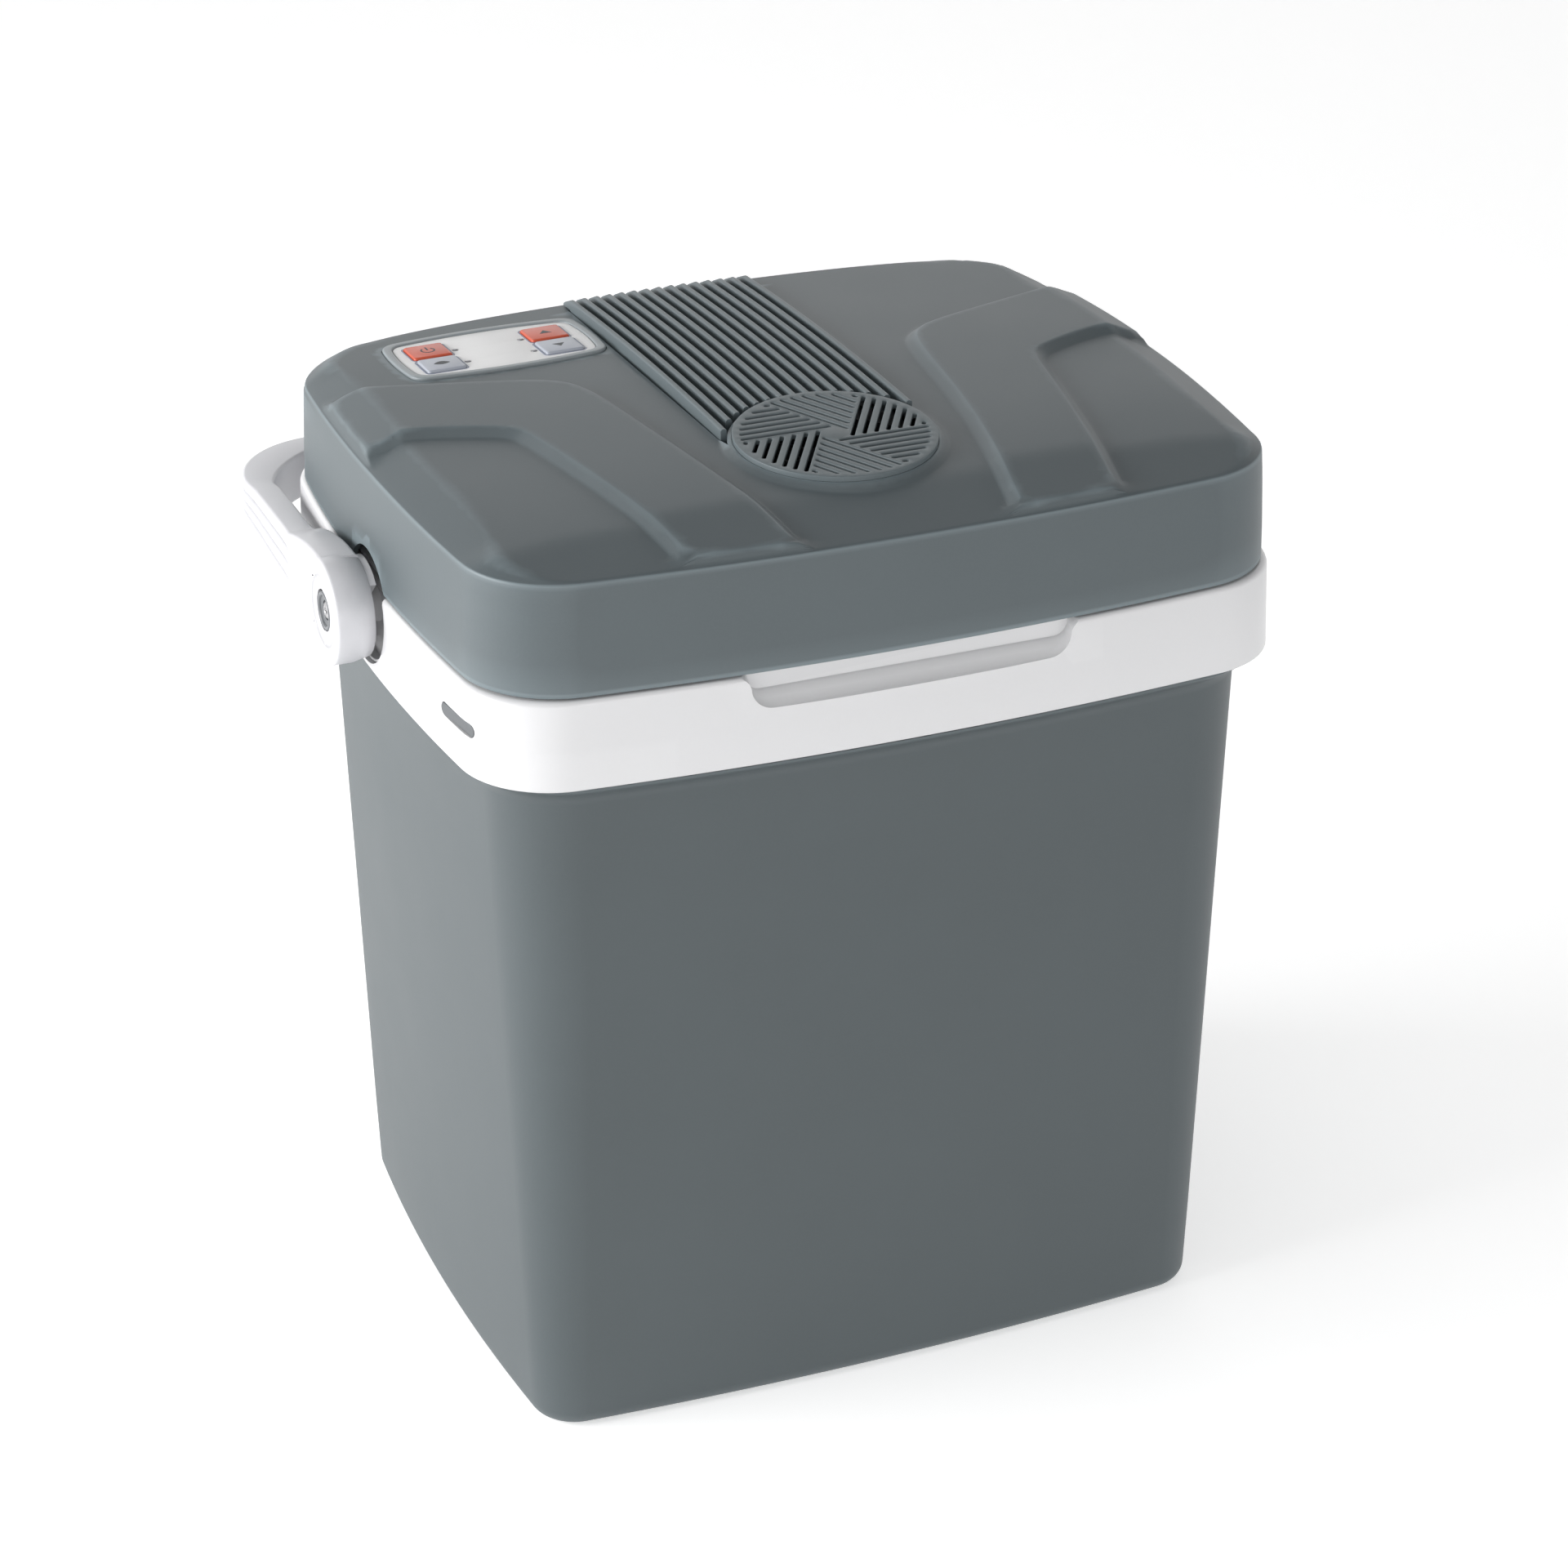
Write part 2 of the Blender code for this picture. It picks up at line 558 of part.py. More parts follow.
def vent_hole():
    """Opening under the ribs: straight sides and a front edge that follows the grille's boss."""
    reach = BOSS_RADIUS + 0.0006
    last = math.acos(VENT_HALF / reach)
    front = []
    for step in range(13):
        angle = last + (math.pi - 2 * last) * step / 12
        front.append((reach * math.cos(angle), DISC_Y + reach * math.sin(angle)))
    return front + [(-VENT_HALF, VENT_REAR), (VENT_HALF, VENT_REAR)]


def mirrored(path):
    """The same path on the other side of the lid."""
    return [(-x, y) for x, y in path]


def shifted(path, distance):
    """A path moved sideways by a distance."""
    out = []
    for k, (x, y) in enumerate(path):
        before, after = path[max(k - 1, 0)], path[min(k + 1, len(path) - 1)]
        dx, dy = after[0] - before[0], after[1] - before[1]
        size = math.hypot(dx, dy)
        out.append((x - dy / size * distance, y + dx / size * distance))
    return out


def lid_ring(inset):
    """Outline of the lid's top, moved inwards."""
    return outline(LID_HALF_X - 0.003 - inset, LID_HALF_Y - 0.003 - inset, BOW_X, BOW_Y,
                   max(CORNER - inset, 0.008))


def lid_lines():
    """Creases that the lid's triangles follow."""
    lines = []
    for path in (BAND_INNER, BAND_OUTER, shifted(BAND_INNER, BAND_SLOPE), shifted(BAND_OUTER, BAND_SLOPE)):
        kept = [p for p in path if edge_distance(*p) > 0.0045]
        lines.append(kept)
        lines.append(mirrored(kept))
    for inset in (0.005, 0.016):
        ring = lid_ring(inset)
        lines.append(ring + ring[:1])
    lines.append([(0.175 * k / 4, -0.1235 + 0.003 * (k / 4) ** 2) for k in range(-4, 5)])
    foot = circle(BOSS_FOOT, 36, (0.0, DISC_Y))
    lines.append(foot + foot[:1])
    top = circle(BOSS_RADIUS, 36, (0.0, DISC_Y))
    lines.append(top + top[:1])
    return lines


def inlet_spot(x):
    """Rear wall position at one x, at the height of the power inlets."""
    return LID_HALF_Y - 0.0008 - BOW_X * (x / 0.1488) ** 2


def build_lid_cover():
    """Lid cover: one skin with a top surface, a wall all round and openings for what it carries."""
    grille_hole = circle(DISC_RADIUS - 0.0022, 36, (0.0, DISC_Y))
    panel_hole = outline(0.0500, 0.0324, 0.0032, 0.0012, 0.0094, (PANEL_X, PANEL_Y), 5, 4)
    grid = [(0.04 * i, 0.035 * j) for i in range(-4, 5) for j in range(-3, 5)]
    grid = [p for p in grid if edge_distance(*p) > 0.02]
    rim = lid_ring(0.0)
    flat, tris, edges = triangulate(rim, [grille_hole, vent_hole(), panel_hole], lid_lines(), grid)
    after = {a: b for a, b in edges}
    before = {b: a for a, b in edges}
    outer = [k for k in range(len(flat)) if k in after and edge_distance(*flat[k]) < 0.003]
    ways = {}
    for k in outer:
        (x0, y0), (x1, y1) = flat[before[k]], flat[after[k]]
        size = math.hypot(x1 - x0, y1 - y0)
        ways[k] = ((y1 - y0) / size, -(x1 - x0) / size)
    count = len(flat)
    verts = [(x, y, lid_height(x, y)) for x, y in flat]
    for k, (x, y) in enumerate(flat):
        dx, dy = ways.get(k, (0.0, 0.0))
        verts.append((x - 0.0012 * dx, y - 0.0012 * dy, lid_height(x, y) - WALL))
    faces = list(tris) + [tuple(k + count for k in tri[::-1]) for tri in tris]
    rows = [(0.0008, None, 0.0010), (0.0030, LID_LOW, 0.0), (0.0005, LID_LOW, 0.0)]
    tables = []
    for move, level, drop in rows:
        table = {}
        for k in outer:
            x, y = flat[k]
            z = level if level else lid_height(x, y) - drop
            table[k] = len(verts)
            verts.append((x + move * ways[k][0], y + move * ways[k][1], z))
        tables.append(table)
    for a, b in edges:
        if a in ways and b in ways:
            chain = [(a, b)] + [(t[a], t[b]) for t in tables] + [(a + count, b + count)]
            faces.extend((p[1], p[0], q[0], q[1]) for p, q in zip(chain, chain[1:]))
        else:
            faces.append((b, a, a + count, b + count))
    lid = finish("lid_cover", verts, faces, GREY, (0.0, HINGE_Y, HINGE_Z))
    arms = [knuckle(side * 0.0686, side * 0.0814, LID_ARM) for side in (-1, 1)]
    cut(lid, finish("lid_knuckles", *merged(arms), None), "UNION")
    notches = [turned([(WELL_RADIUS, 0.1900), (WELL_RADIUS, 0.2100)], 32, (0.0, PIVOT_Z), side, False)
               for side in (-1, 1)]
    bores = [prism(circle(0.0019, 12, (HINGE_Y, HINGE_Z)), side * 0.0590, side * 0.0910, "x")
             for side in (-1, 1)]
    ports = [box(x - wide - GAP, x + wide + GAP, 0.145, 0.172, 0.4080 - tall - GAP, 0.4080 + tall + GAP)
             for x, wide, tall in INLETS]
    cut(lid, finish("lid_openings", *merged(notches + bores + ports), None), "DIFFERENCE")


INLETS = [(0.1050, 0.0105, 0.0065), (0.1320, 0.0095, 0.0065)]


def build_inlets():
    """Low-voltage and mains inlets in the lid's rear wall, each a socket with two contacts."""
    for name, (x, wide, tall) in zip(("inlet_dc", "inlet_ac"), INLETS):
        face = inlet_spot(x) - 0.0010
        made = finish(name, *box(x - wide, x + wide, 0.1420, face, 0.4080 - tall, 0.4080 + tall), BLACK,
                      (x, face, 0.4080))
        opening = outline(wide - 0.0015, tall - 0.0015, 0, 0, 0.002, (x, 0.4080), 1, 3)
        pins = [circle(0.0011, 10, (x + s * wide * 0.4, 0.4080)) for s in (-1, 1)]
        cut(made, finish(name + "_socket", *swap_yz(slab(opening, pins, 0.1450, 0.1700)), None), "DIFFERENCE")


def build_lid_inside():
    """Inner panel, foam, seal and grille below the lid."""
    count = 4 * (RING_SIDES + RING_TURNS)
    hole = circle(0.0420, count, (0.0, STACK_Y), math.radians(-150))
    panel = [(hole, 0.3570), (outline(0.1395, 0.1055, 0.004, 0.003, 0.0225), 0.3570),
             (outline(0.1450, 0.1110, 0.004, 0.003, 0.0260), 0.3605),
             (outline(0.1490, 0.1150, 0.004, 0.003, 0.0290), 0.3895),
             (outline(0.1930, 0.1579, BOW_X, BOW_Y, 0.0385), 0.3895),
             (outline(0.1930, 0.1579, BOW_X, BOW_Y, 0.0385), 0.3920),
             (outline(0.1465, 0.1125, 0.004, 0.003, 0.0265), 0.3920),
             (outline(0.1428, 0.1088, 0.004, 0.003, 0.0240), 0.3618),
             (outline(0.1388, 0.1048, 0.004, 0.003, 0.0218), 0.3594), (hole, 0.3594)]
    origin = (0.0, HINGE_Y, HINGE_Z)
    finish("lid_inner", *loft(panel, closed=True), LINER, origin)
    well = outline(0.0540, 0.0500, 0, 0, 0.010, (0.0, STACK_Y))
    foam = [(well, 0.3622), (outline(0.1422, 0.1082, 0.004, 0.003, 0.0236), 0.3622),
            (outline(0.1460, 0.1120, 0.004, 0.003, 0.0262), 0.3922),
            (outline(0.1460, 0.1120, 0.004, 0.003, 0.0262), 0.4040), (well, 0.4040)]
    finish("lid_foam", *loft(foam, closed=True), FOAM, origin)
    seal = [(outline(a, a - 0.0340, 0.004, 0.003, a - 0.1290), z)
            for a, z in ((0.1580, 0.3867), (0.1660, 0.3867), (0.1660, 0.3892), (0.1580, 0.3892))]
    finish("lid_gasket", *loft(seal, closed=True), RUBBER, origin)
    guard_holes = []
    for inner, outer, parts in ((0.0080, 0.0155, 4), (0.0180, 0.0265, 8), (0.0290, 0.0380, 8)):
        for part in range(parts):
            first = 2 * math.pi * part / parts
            span = 2 * math.pi / parts
            trim = 0.0012
            steps = 5 if parts == 4 else 3
            arc = [first + span * k / steps for k in range(steps + 1)]
            ring = []
            for radius, order in ((outer, 1), (inner, -1)):
                edge = trim / radius
                angles = [first + edge + (span - 2 * edge) * k / steps for k in range(len(arc))]
                ring += [(radius * math.cos(a), STACK_Y + radius * math.sin(a)) for a in angles[::order]]
            guard_holes.append(ring)
    finish("inner_grille", *slab(circle(0.0416, count, (0.0, STACK_Y)), guard_holes, 0.3572, 0.3592),
           LINER, origin)


def build_vents():
    """Fan grille with its pinwheel of slots and the ribbed air outlet."""
    holes = []
    for sector in range(6):
        turn = math.radians(60 * sector)
        for row in range(7):
            rise = 0.0077 + 0.0050 * row
            left = -math.sqrt(0.0430 ** 2 - rise ** 2) + 0.0004
            right = 0.0010 - 0.577 * (rise - 0.0077)
            if right - left < 0.003:
                continue
            corners = [(left, rise - 0.001), (right, rise - 0.001), (right - 0.0008, rise + 0.001),
                       (left + 0.001, rise + 0.001)]
            holes.append([(x * math.cos(turn) - y * math.sin(turn),
                           DISC_Y + x * math.sin(turn) + y * math.cos(turn)) for x, y in corners])
    finish("fan_grille", *slab(circle(DISC_RADIUS, 48, (0.0, DISC_Y)), holes,
                               lambda x, y: disc_height(y) - 0.0024, lambda x, y: disc_height(y)),
           GREY, (0.0, HINGE_Y, HINGE_Z))
    ribs = []
    for k in range(RIB_COUNT):
        x = (k - (RIB_COUNT - 1) / 2) * RIB_PITCH
        near = max(abs(x) - RIB_WIDTH / 2, 0.0)
        front = DISC_Y + math.sqrt((BOSS_RADIUS + 0.0010) ** 2 - near * near)
        stations = [front] + [y for y in (0.010, 0.080) if y > front + 0.004] + [0.1468]
        top = [(y, crown(x, y) + 0.0052) for y in stations] + [(RIB_REAR - 0.0025, crown(x, 0.148) + 0.0051),
                                                               (RIB_REAR, crown(x, 0.150) + 0.0030)]
        low = [(y, crown(x, y) - 0.0032) for y in stations]
        low += [(0.1468, crown(x, 0.1468) + 0.0004), (RIB_REAR, crown(x, RIB_REAR) + 0.0008)]
        ribs.append(prism(low + top[::-1], x - RIB_WIDTH / 2, x + RIB_WIDTH / 2, "x"))
    grille = finish("rib_grille", *merged(ribs), GREY, (0.0, HINGE_Y, HINGE_Z))
    ties = []
    for y in (-0.0130, 0.0400, 0.0930, 0.1440):
        level = crown(0.0, y)
        half = RIB_PITCH * 7 + 0.0012
        ties.append(box(-half, half, y - 0.0015, y + 0.0015, level - 0.0028, level - 0.0008))
    cut(grille, finish("rib_ties", *merged(ties), None), "UNION")


def build_panel():
    """Control panel: raised frame, label plate, four keys and four lamps."""
    frame_out = outline(0.0496, 0.0320, 0.0032, 0.0012, 0.0090, (PANEL_X, PANEL_Y), 5, 4)
    frame_in = outline(0.0455, 0.0275, 0.0030, 0.0012, 0.0070, (PANEL_X, PANEL_Y), 5, 4)
    finish("panel_frame", *slab(frame_out, [frame_in], lambda x, y: panel_plane(x, y) - 0.0030,
                                lambda x, y: panel_plane(x, y) + 0.0011), FRAME_GREY, (PANEL_X, PANEL_Y, 0.444))
    keys = {"button_power": (-0.1287, 0.1147, ORANGE), "button_eco": (-0.1287, 0.0935, KEY_GREY),
            "button_up": (-0.0705, 0.1147, ORANGE), "button_down": (-0.0705, 0.0935, KEY_GREY)}
    lamps = {"led_power": (-0.1160, 0.1125), "led_eco": (-0.1160, 0.0932),
             "led_up": (-0.0832, 0.1125), "led_down": (-0.0832, 0.0932)}
    holes = [outline(0.0098, 0.0098, 0, 0, 0.0020, (x, y), 1, 3) for x, y, _ in keys.values()]
    holes += [circle(0.0014, 12, spot) for spot in lamps.values()]
    label = outline(0.0452, 0.0272, 0.0030, 0.0012, 0.0067, (PANEL_X, PANEL_Y), 5, 4)
    finish("panel_label", *slab(label, holes, lambda x, y: panel_plane(x, y) - 0.0020,
                                lambda x, y: panel_plane(x, y) + 0.0004), LABEL, (PANEL_X, PANEL_Y, 0.444))
    for name, (x, y, surface) in keys.items():
        shape = slab(outline(0.0095, 0.0095, 0, 0, 0.0017, (x, y), 1, 3), [],
                     lambda u, v: panel_plane(u, v) - 0.0070, lambda u, v: panel_plane(u, v) + 0.0016)
        finish(name, *shape, surface, (x, y, panel_plane(x, y)))
    for name, (x, y) in lamps.items():
        shape = slab(circle(0.0011, 12, (x, y)), [], lambda u, v: panel_plane(u, v) - 0.0030,
                     lambda u, v: panel_plane(u, v) + 0.0007)
        finish(name, *shape, LENS, (x, y, panel_plane(x, y)))


# ---- cooling unit and electronics in the lid ----

def rotor(name, centre, radius, low, high, lean):
    """Fan rotor: hub with twisted blades."""
    cx, cy = centre
    hub = [(cx + 0.32 * radius * math.cos(a), cy + 0.32 * radius * math.sin(a))
           for a in (2 * math.pi * k / 28 for k in range(28))]
    made = finish(name, *prism(hub, low, high), BLACK, (cx, cy, (low + high) / 2))
    blades = []
    for k in range(FAN_BLADES):
        verts = []
        for reach, turn in ((0.24, 0.0), (0.62, 0.10), (0.98, 0.22)):
            spread = 0.5 * lean * (0.6 + 0.4 * reach)
            for level, swing in ((low + 0.0008, -spread), (high - 0.0008, spread)):
                for edge in (-0.0006, 0.0006):
                    angle = 2 * math.pi * k / FAN_BLADES + turn + swing + edge / (reach * radius)
                    verts.append((cx + reach * radius * math.cos(angle),
                                  cy + reach * radius * math.sin(angle), level))
        faces = []
        for row in (0, 4):
            a, b, c, d = row, row + 1, row + 3, row + 2
            for p, q in ((a, b), (b, c), (c, d), (d, a)):
                faces.append((p, q, q + 4, p + 4))
        faces += [(0, 2, 3, 1), (8, 9, 11, 10)]
        blades.append((verts, faces))
    cut(made, finish(name + "_blades", *merged(blades), None), "UNION")


def fan_frame(name, centre, half, bore, low, high):
    """Square fan housing with a round duct and a motor mount on four struts."""
    cx, cy = centre
    square = outline(half, half, 0, 0, 0.004, centre, 1, 3)
    made = finish(name, *slab(square, [circle(bore, 32, centre)], low, high), BLACK, (cx, cy, low))
    disc = prism(circle(bore * 0.34, 24, centre), low, low + 0.0016)
    cut(made, finish(name + "_mount", *disc, None), "UNION")
    bars = [box(cx - bore - 0.001, cx + bore + 0.001, cy - 0.0018, cy + 0.0018, low + 0.0001, low + 0.0015),
            box(cx - 0.0018, cx + 0.0018, cy - bore - 0.001, cy + bore + 0.001, low + 0.0002, low + 0.0014)]
    for k, bar in enumerate(bars):
        cut(made, finish(name + "_bar_%d" % k, *bar, None), "UNION")


def heatsink(name, half_x, y0, y1, base, fin_end, fins, centre_y):
    """Finned block; the fins run along Y."""
    pitch = 2 * half_x / fins
    thick = 0.0012
    points = []
    for k in range(fins):
        left = -half_x + pitch * k + (pitch - thick) / 2
        points += [(left, base[1]), (left, fin_end), (left + thick, fin_end), (left + thick, base[1])]
    points = [(-half_x, base[0]), (-half_x, base[1])] + points + [(half_x, base[1]), (half_x, base[0])]
    finish(name, *prism(points, y0, y1, "y"), ALUMINIUM, (0.0, centre_y, base[0]))


def build_cooling():
    """Peltier stack, two fans and two circuit boards."""
    hot = (0.0, DISC_Y)
    fan_frame("hot_fan_frame", hot, 0.0450, 0.0425, 0.4240, 0.4438)
    rotor("hot_fan_rotor", hot, 0.0410, 0.4262, 0.4432, 0.50)
    heatsink("hot_heatsink", 0.0500, -0.1180, 0.0100, (0.4050, 0.4090), 0.4235, 13, STACK_Y)
    finish("peltier_module", *box(-0.020, 0.020, STACK_Y - 0.020, STACK_Y + 0.020, 0.4010, 0.4047), CERAMIC)
    finish("cold_block", *box(-0.021, 0.021, STACK_Y - 0.021, STACK_Y + 0.021, 0.3866, 0.4007), ALUMINIUM)
    heatsink("cold_heatsink", 0.0450, STACK_Y - 0.0400, STACK_Y + 0.0400, (0.3863, 0.3825), 0.3755, 15,
             STACK_Y)
    cold = (0.0, STACK_Y)
    fan_frame("cold_fan_frame", cold, 0.0400, 0.0375, 0.3600, 0.3750)
    rotor("cold_fan_rotor", cold, 0.0360, 0.3622, 0.3744, 0.50)
    finish("control_board", *box(-0.1420, -0.0570, 0.0780, 0.1330, 0.4290, 0.4306), BOARD)
    board = finish("power_board", *box(0.0600, 0.1500, 0.0350, 0.1350, 0.4100, 0.4116), BOARD)
    blocks = [box(0.0680, 0.0900, 0.0500, 0.0800, 0.4110, 0.4290), box(0.1000, 0.1200, 0.0480, 0.0620, 0.4110, 0.4250),
              box(0.1050, 0.1350, 0.0900, 0.1150, 0.4110, 0.4270)]
    cut(board, finish("power_board_parts", *merged(blocks), None), "UNION")


build_body()
build_collar()
build_pivots()
build_handle()
build_lid_cover()
build_inlets()
build_lid_inside()
build_vents()
build_panel()
build_cooling()
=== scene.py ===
"""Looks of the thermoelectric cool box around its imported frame: finer shells, finishes, light and camera."""
import math
import bmesh
import bpy
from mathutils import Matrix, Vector
from mathutils.geometry import delaunay_2d_cdt


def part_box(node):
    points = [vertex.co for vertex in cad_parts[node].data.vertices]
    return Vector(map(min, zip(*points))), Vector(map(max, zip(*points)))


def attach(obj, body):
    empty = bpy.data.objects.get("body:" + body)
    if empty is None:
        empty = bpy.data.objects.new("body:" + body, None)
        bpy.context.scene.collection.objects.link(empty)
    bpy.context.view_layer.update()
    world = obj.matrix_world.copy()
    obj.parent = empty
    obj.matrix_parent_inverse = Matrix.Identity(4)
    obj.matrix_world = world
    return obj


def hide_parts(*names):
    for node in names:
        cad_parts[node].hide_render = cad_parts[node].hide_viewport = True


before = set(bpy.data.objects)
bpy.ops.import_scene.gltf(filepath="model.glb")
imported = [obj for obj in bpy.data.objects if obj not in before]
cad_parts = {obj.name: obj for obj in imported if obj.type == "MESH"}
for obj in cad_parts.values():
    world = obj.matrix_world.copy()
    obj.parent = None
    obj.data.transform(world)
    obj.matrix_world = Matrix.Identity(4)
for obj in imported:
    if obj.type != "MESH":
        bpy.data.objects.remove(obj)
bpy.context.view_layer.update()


# ---- places, read from the frame except the collar's top ----

def middle(node):
    """Centre of a node's box."""
    low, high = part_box(node)
    return (low + high) / 2


LID_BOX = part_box("lid_cover")
COLLAR_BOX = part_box("collar")
HANDLE_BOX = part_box("handle")
GRILLE_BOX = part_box("fan_grille")
RIB_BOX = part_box("rib_grille")
LINER_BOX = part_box("inner_liner")
PLUG_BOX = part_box("lid_inner")
GASKET_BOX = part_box("lid_gasket")
LID_HALF_X = LID_BOX[1].x
LID_HALF_Y = -LID_BOX[0].y
LID_LOW = LID_BOX[0].z
COLLAR_LOW = COLLAR_BOX[0].z
COLLAR_TOP = 0.3868
PIVOT_Z = middle("pivot_pin_left").z
HINGE = middle("hinge_pin_left")
DISC_Y = middle("fan_grille").y
DISC_RADIUS = GRILLE_BOX[1].x
DISC_TOP = middle("fan_grille").z + 0.0012
PANEL = middle("panel_frame")
STACK_Y = middle("cold_block").y
RIB_HALF = RIB_BOX[1].x
RIB_REAR = RIB_BOX[1].y

# Shape rules that the frame's parts follow too, in metres; SIDES and TURNS count points per side and corner.
BOW_X = 0.0073
BOW_Y = 0.0057
CORNER = 0.043
EDGE_FRONT = 0.4400
CROWN_TOP = 0.4500
CROWN_Y = -0.050
BODY_TOP = 0.3330
BODY_SPREAD = 0.0119
BASE_HALF_X = 0.1756
BASE_HALF_Y = 0.1413
WALL = 0.0025
BOSS_RADIUS = 0.0475
BOSS_FOOT = 0.0515
RIB_COUNT = 15
RIB_PITCH = 0.00642
RIB_WIDTH = 0.0030
VENT_HALF = 0.0470
VENT_REAR = 0.1475
BAND_HEIGHT = 0.0040
BAND_SLOPE = 0.0050
CREASE = 0.0009
SIDES = 20
TURNS = 14
RIM_INSET = 0.003
LID_SKIN = 0.0012
WELL_RADIUS = 0.0272
HUB_RADIUS = 0.0250
CAM_RADIUS = 0.0228
CAM_SHAFT = 0.0105
PIN_RADIUS = 0.0019
KNUCKLE_RADIUS = 0.0038
RECESS_LOW = 0.3708
RECESS_FOOT = 0.0105
HANDS = ((-1, "left"), (1, "right"))

# One raised band of the lid, right-hand side; the left band is its mirror image.
BAND_INNER = [(0.0520, -0.1640), (0.0575, -0.1290), (0.0645, -0.0940), (0.0727, -0.0440),
              (0.0790, 0.0050), (0.0835, 0.0280), (0.0895, 0.0380), (0.1010, 0.0460),
              (0.1400, 0.0600), (0.1780, 0.0740), (0.2000, 0.0800)]
BAND_OUTER = [(0.2000, 0.0060), (0.1770, 0.0120), (0.1570, 0.0060), (0.1350, -0.0040),
              (0.1275, -0.0100), (0.1240, -0.0180), (0.1170, -0.0560), (0.1030, -0.1310),
              (0.0985, -0.1640)]


# ---- camera ----

def place_camera():
    """Camera at the viewing angle of the reference picture."""
    azimuth, elevation = math.radians(-22.331), math.radians(26.992)
    data = bpy.data.cameras.new("view")
    data.lens, data.sensor_width = 99.42, 36.0
    data.clip_start, data.clip_end = 0.05, 60.0
    camera = bpy.data.objects.new("view", data)
    back = Vector((math.sin(azimuth) * math.cos(elevation), -math.cos(azimuth) * math.cos(elevation),
                   math.sin(elevation)))
    camera.location = (-0.6984, -1.7133, 1.1874)
    camera.rotation_mode = "QUATERNION"
    camera.rotation_quaternion = (-back).to_track_quat("-Z", "Y")
    bpy.context.collection.objects.link(camera)
    bpy.context.scene.camera = camera


place_camera()


# ---- finishes ----

def new_material(name, colour, roughness, metallic=0.0, coat=0.0):
    """A material with its Principled shader, node tree and a socket of object coordinates."""
    made = bpy.data.materials.new(name)
    made.use_nodes = True
    shader = made.node_tree.nodes["Principled BSDF"]
    shader.inputs["Base Color"].default_value = (*colour, 1.0)
    shader.inputs["Roughness"].default_value = roughness
    shader.inputs["Metallic"].default_value = metallic
    shader.inputs["Coat Weight"].default_value = coat
    shader.inputs["IOR"].default_value = 1.5
    tree = made.node_tree
    return made, shader, tree, add(tree, "ShaderNodeTexCoord").outputs["Object"]


def add(tree, kind, links=(), **values):
    """A node with its properties, default socket values and incoming links."""
    node = tree.nodes.new(kind)
    for key, value in values.items():
        if hasattr(node, key):
            setattr(node, key, value)
        else:
            node.inputs[key.replace("_", " ")].default_value = value
    for source, socket in links:
        tree.links.new(source, node.inputs[socket])
    return node


def noise(tree, where, scale, detail, **values):
    """A noise texture's value."""
    node = add(tree, "ShaderNodeTexNoise", [(where, "Vector")], Scale=scale, Detail=detail, **values)
    return node.outputs["Fac"]


def dent(tree, shader, height, strength, distance):
    """Bump the shader's surface by a height socket."""
    bump = add(tree, "ShaderNodeBump", [(height, "Height")], Strength=strength, Distance=distance)
    tree.links.new(bump.outputs[0], shader.inputs["Normal"])


def blend_colour(tree, factor, first, second):
    """Mix two colours (each a colour or a socket) by a factor socket."""
    node = tree.nodes.new("ShaderNodeMix")
    node.data_type = "RGBA"
    tree.links.new(factor, node.inputs[0])
    for index, value in ((6, first), (7, second)):
        if isinstance(value, bpy.types.NodeSocket):
            tree.links.new(value, node.inputs[index])
        else:
            node.inputs[index].default_value = (*value, 1.0)
    return node.outputs[2]


def ranged(tree, source, low, high, to_low, to_high):
    """A socket's values carried from one range to another, clamped."""
    node = add(tree, "ShaderNodeMapRange", [(source, 0)], clamp=True)
    for index, value in ((1, low), (2, high), (3, to_low), (4, to_high)):
        node.inputs[index].default_value = value
    return node.outputs[0]


def scaled(colour, share):
    """A colour made lighter or darker."""
    return tuple(min(1.0, c * share) for c in colour)


def moulded(name, colour, roughness, grain=0.00045, depth=0.00002, mottle=0.05, edge_highlight=0.25, coat=0.0, groove_shade=0.0):
    """Injection-moulded plastic: spark-eroded grain, cloudy colour, a painted highlight along convex edges and
    painted shade in grooves.
    """
    made, shader, tree, where = new_material(name, colour, roughness, coat=coat)
    cloud = noise(tree, where, 14.0, 4.0, Roughness=0.55)
    speck = noise(tree, where, 0.55 / grain, 2.0)
    pits = add(tree, "ShaderNodeTexVoronoi", [(where, "Vector")], Scale=1.0 / grain)
    tone = blend_colour(tree, ranged(tree, cloud, 0.2, 0.8, 0.0, 1.0),
                        scaled(colour, 1 - mottle), scaled(colour, 1 + mottle))
    tone = blend_colour(tree, ranged(tree, speck, 0.35, 0.75, 0.0, 0.35),
                        tone, scaled(colour, 1 + 2.2 * mottle))
    bend = add(tree, "ShaderNodeNewGeometry").outputs["Pointiness"]
    # Painted highlight: convex edges, found by pointiness, are lightened towards twice the colour.
    edge_highlight_share = ranged(tree, bend, 0.504, 0.530, 0.0, edge_highlight)
    tone = blend_colour(tree, edge_highlight_share, tone, scaled(colour, 2.1))
    # Painted shade: concave grooves, found by pointiness, are darkened towards a quarter of the colour.
    if groove_shade:
        tone = blend_colour(tree, ranged(tree, bend, 0.455, 0.499, groove_shade, 0.0), tone, scaled(colour, 0.25))
    tree.links.new(tone, shader.inputs["Base Color"])
    change = min(0.035, 0.6 * mottle)
    gloss = ranged(tree, cloud, 0.2, 0.8, roughness - change, roughness + change)
    tree.links.new(gloss, shader.inputs["Roughness"])
    height = add(tree, "ShaderNodeMath", [(pits.outputs["Distance"], 0), (speck, 1)], operation="ADD")
    dent(tree, shader, height.outputs[0], 0.35, depth)
    return made


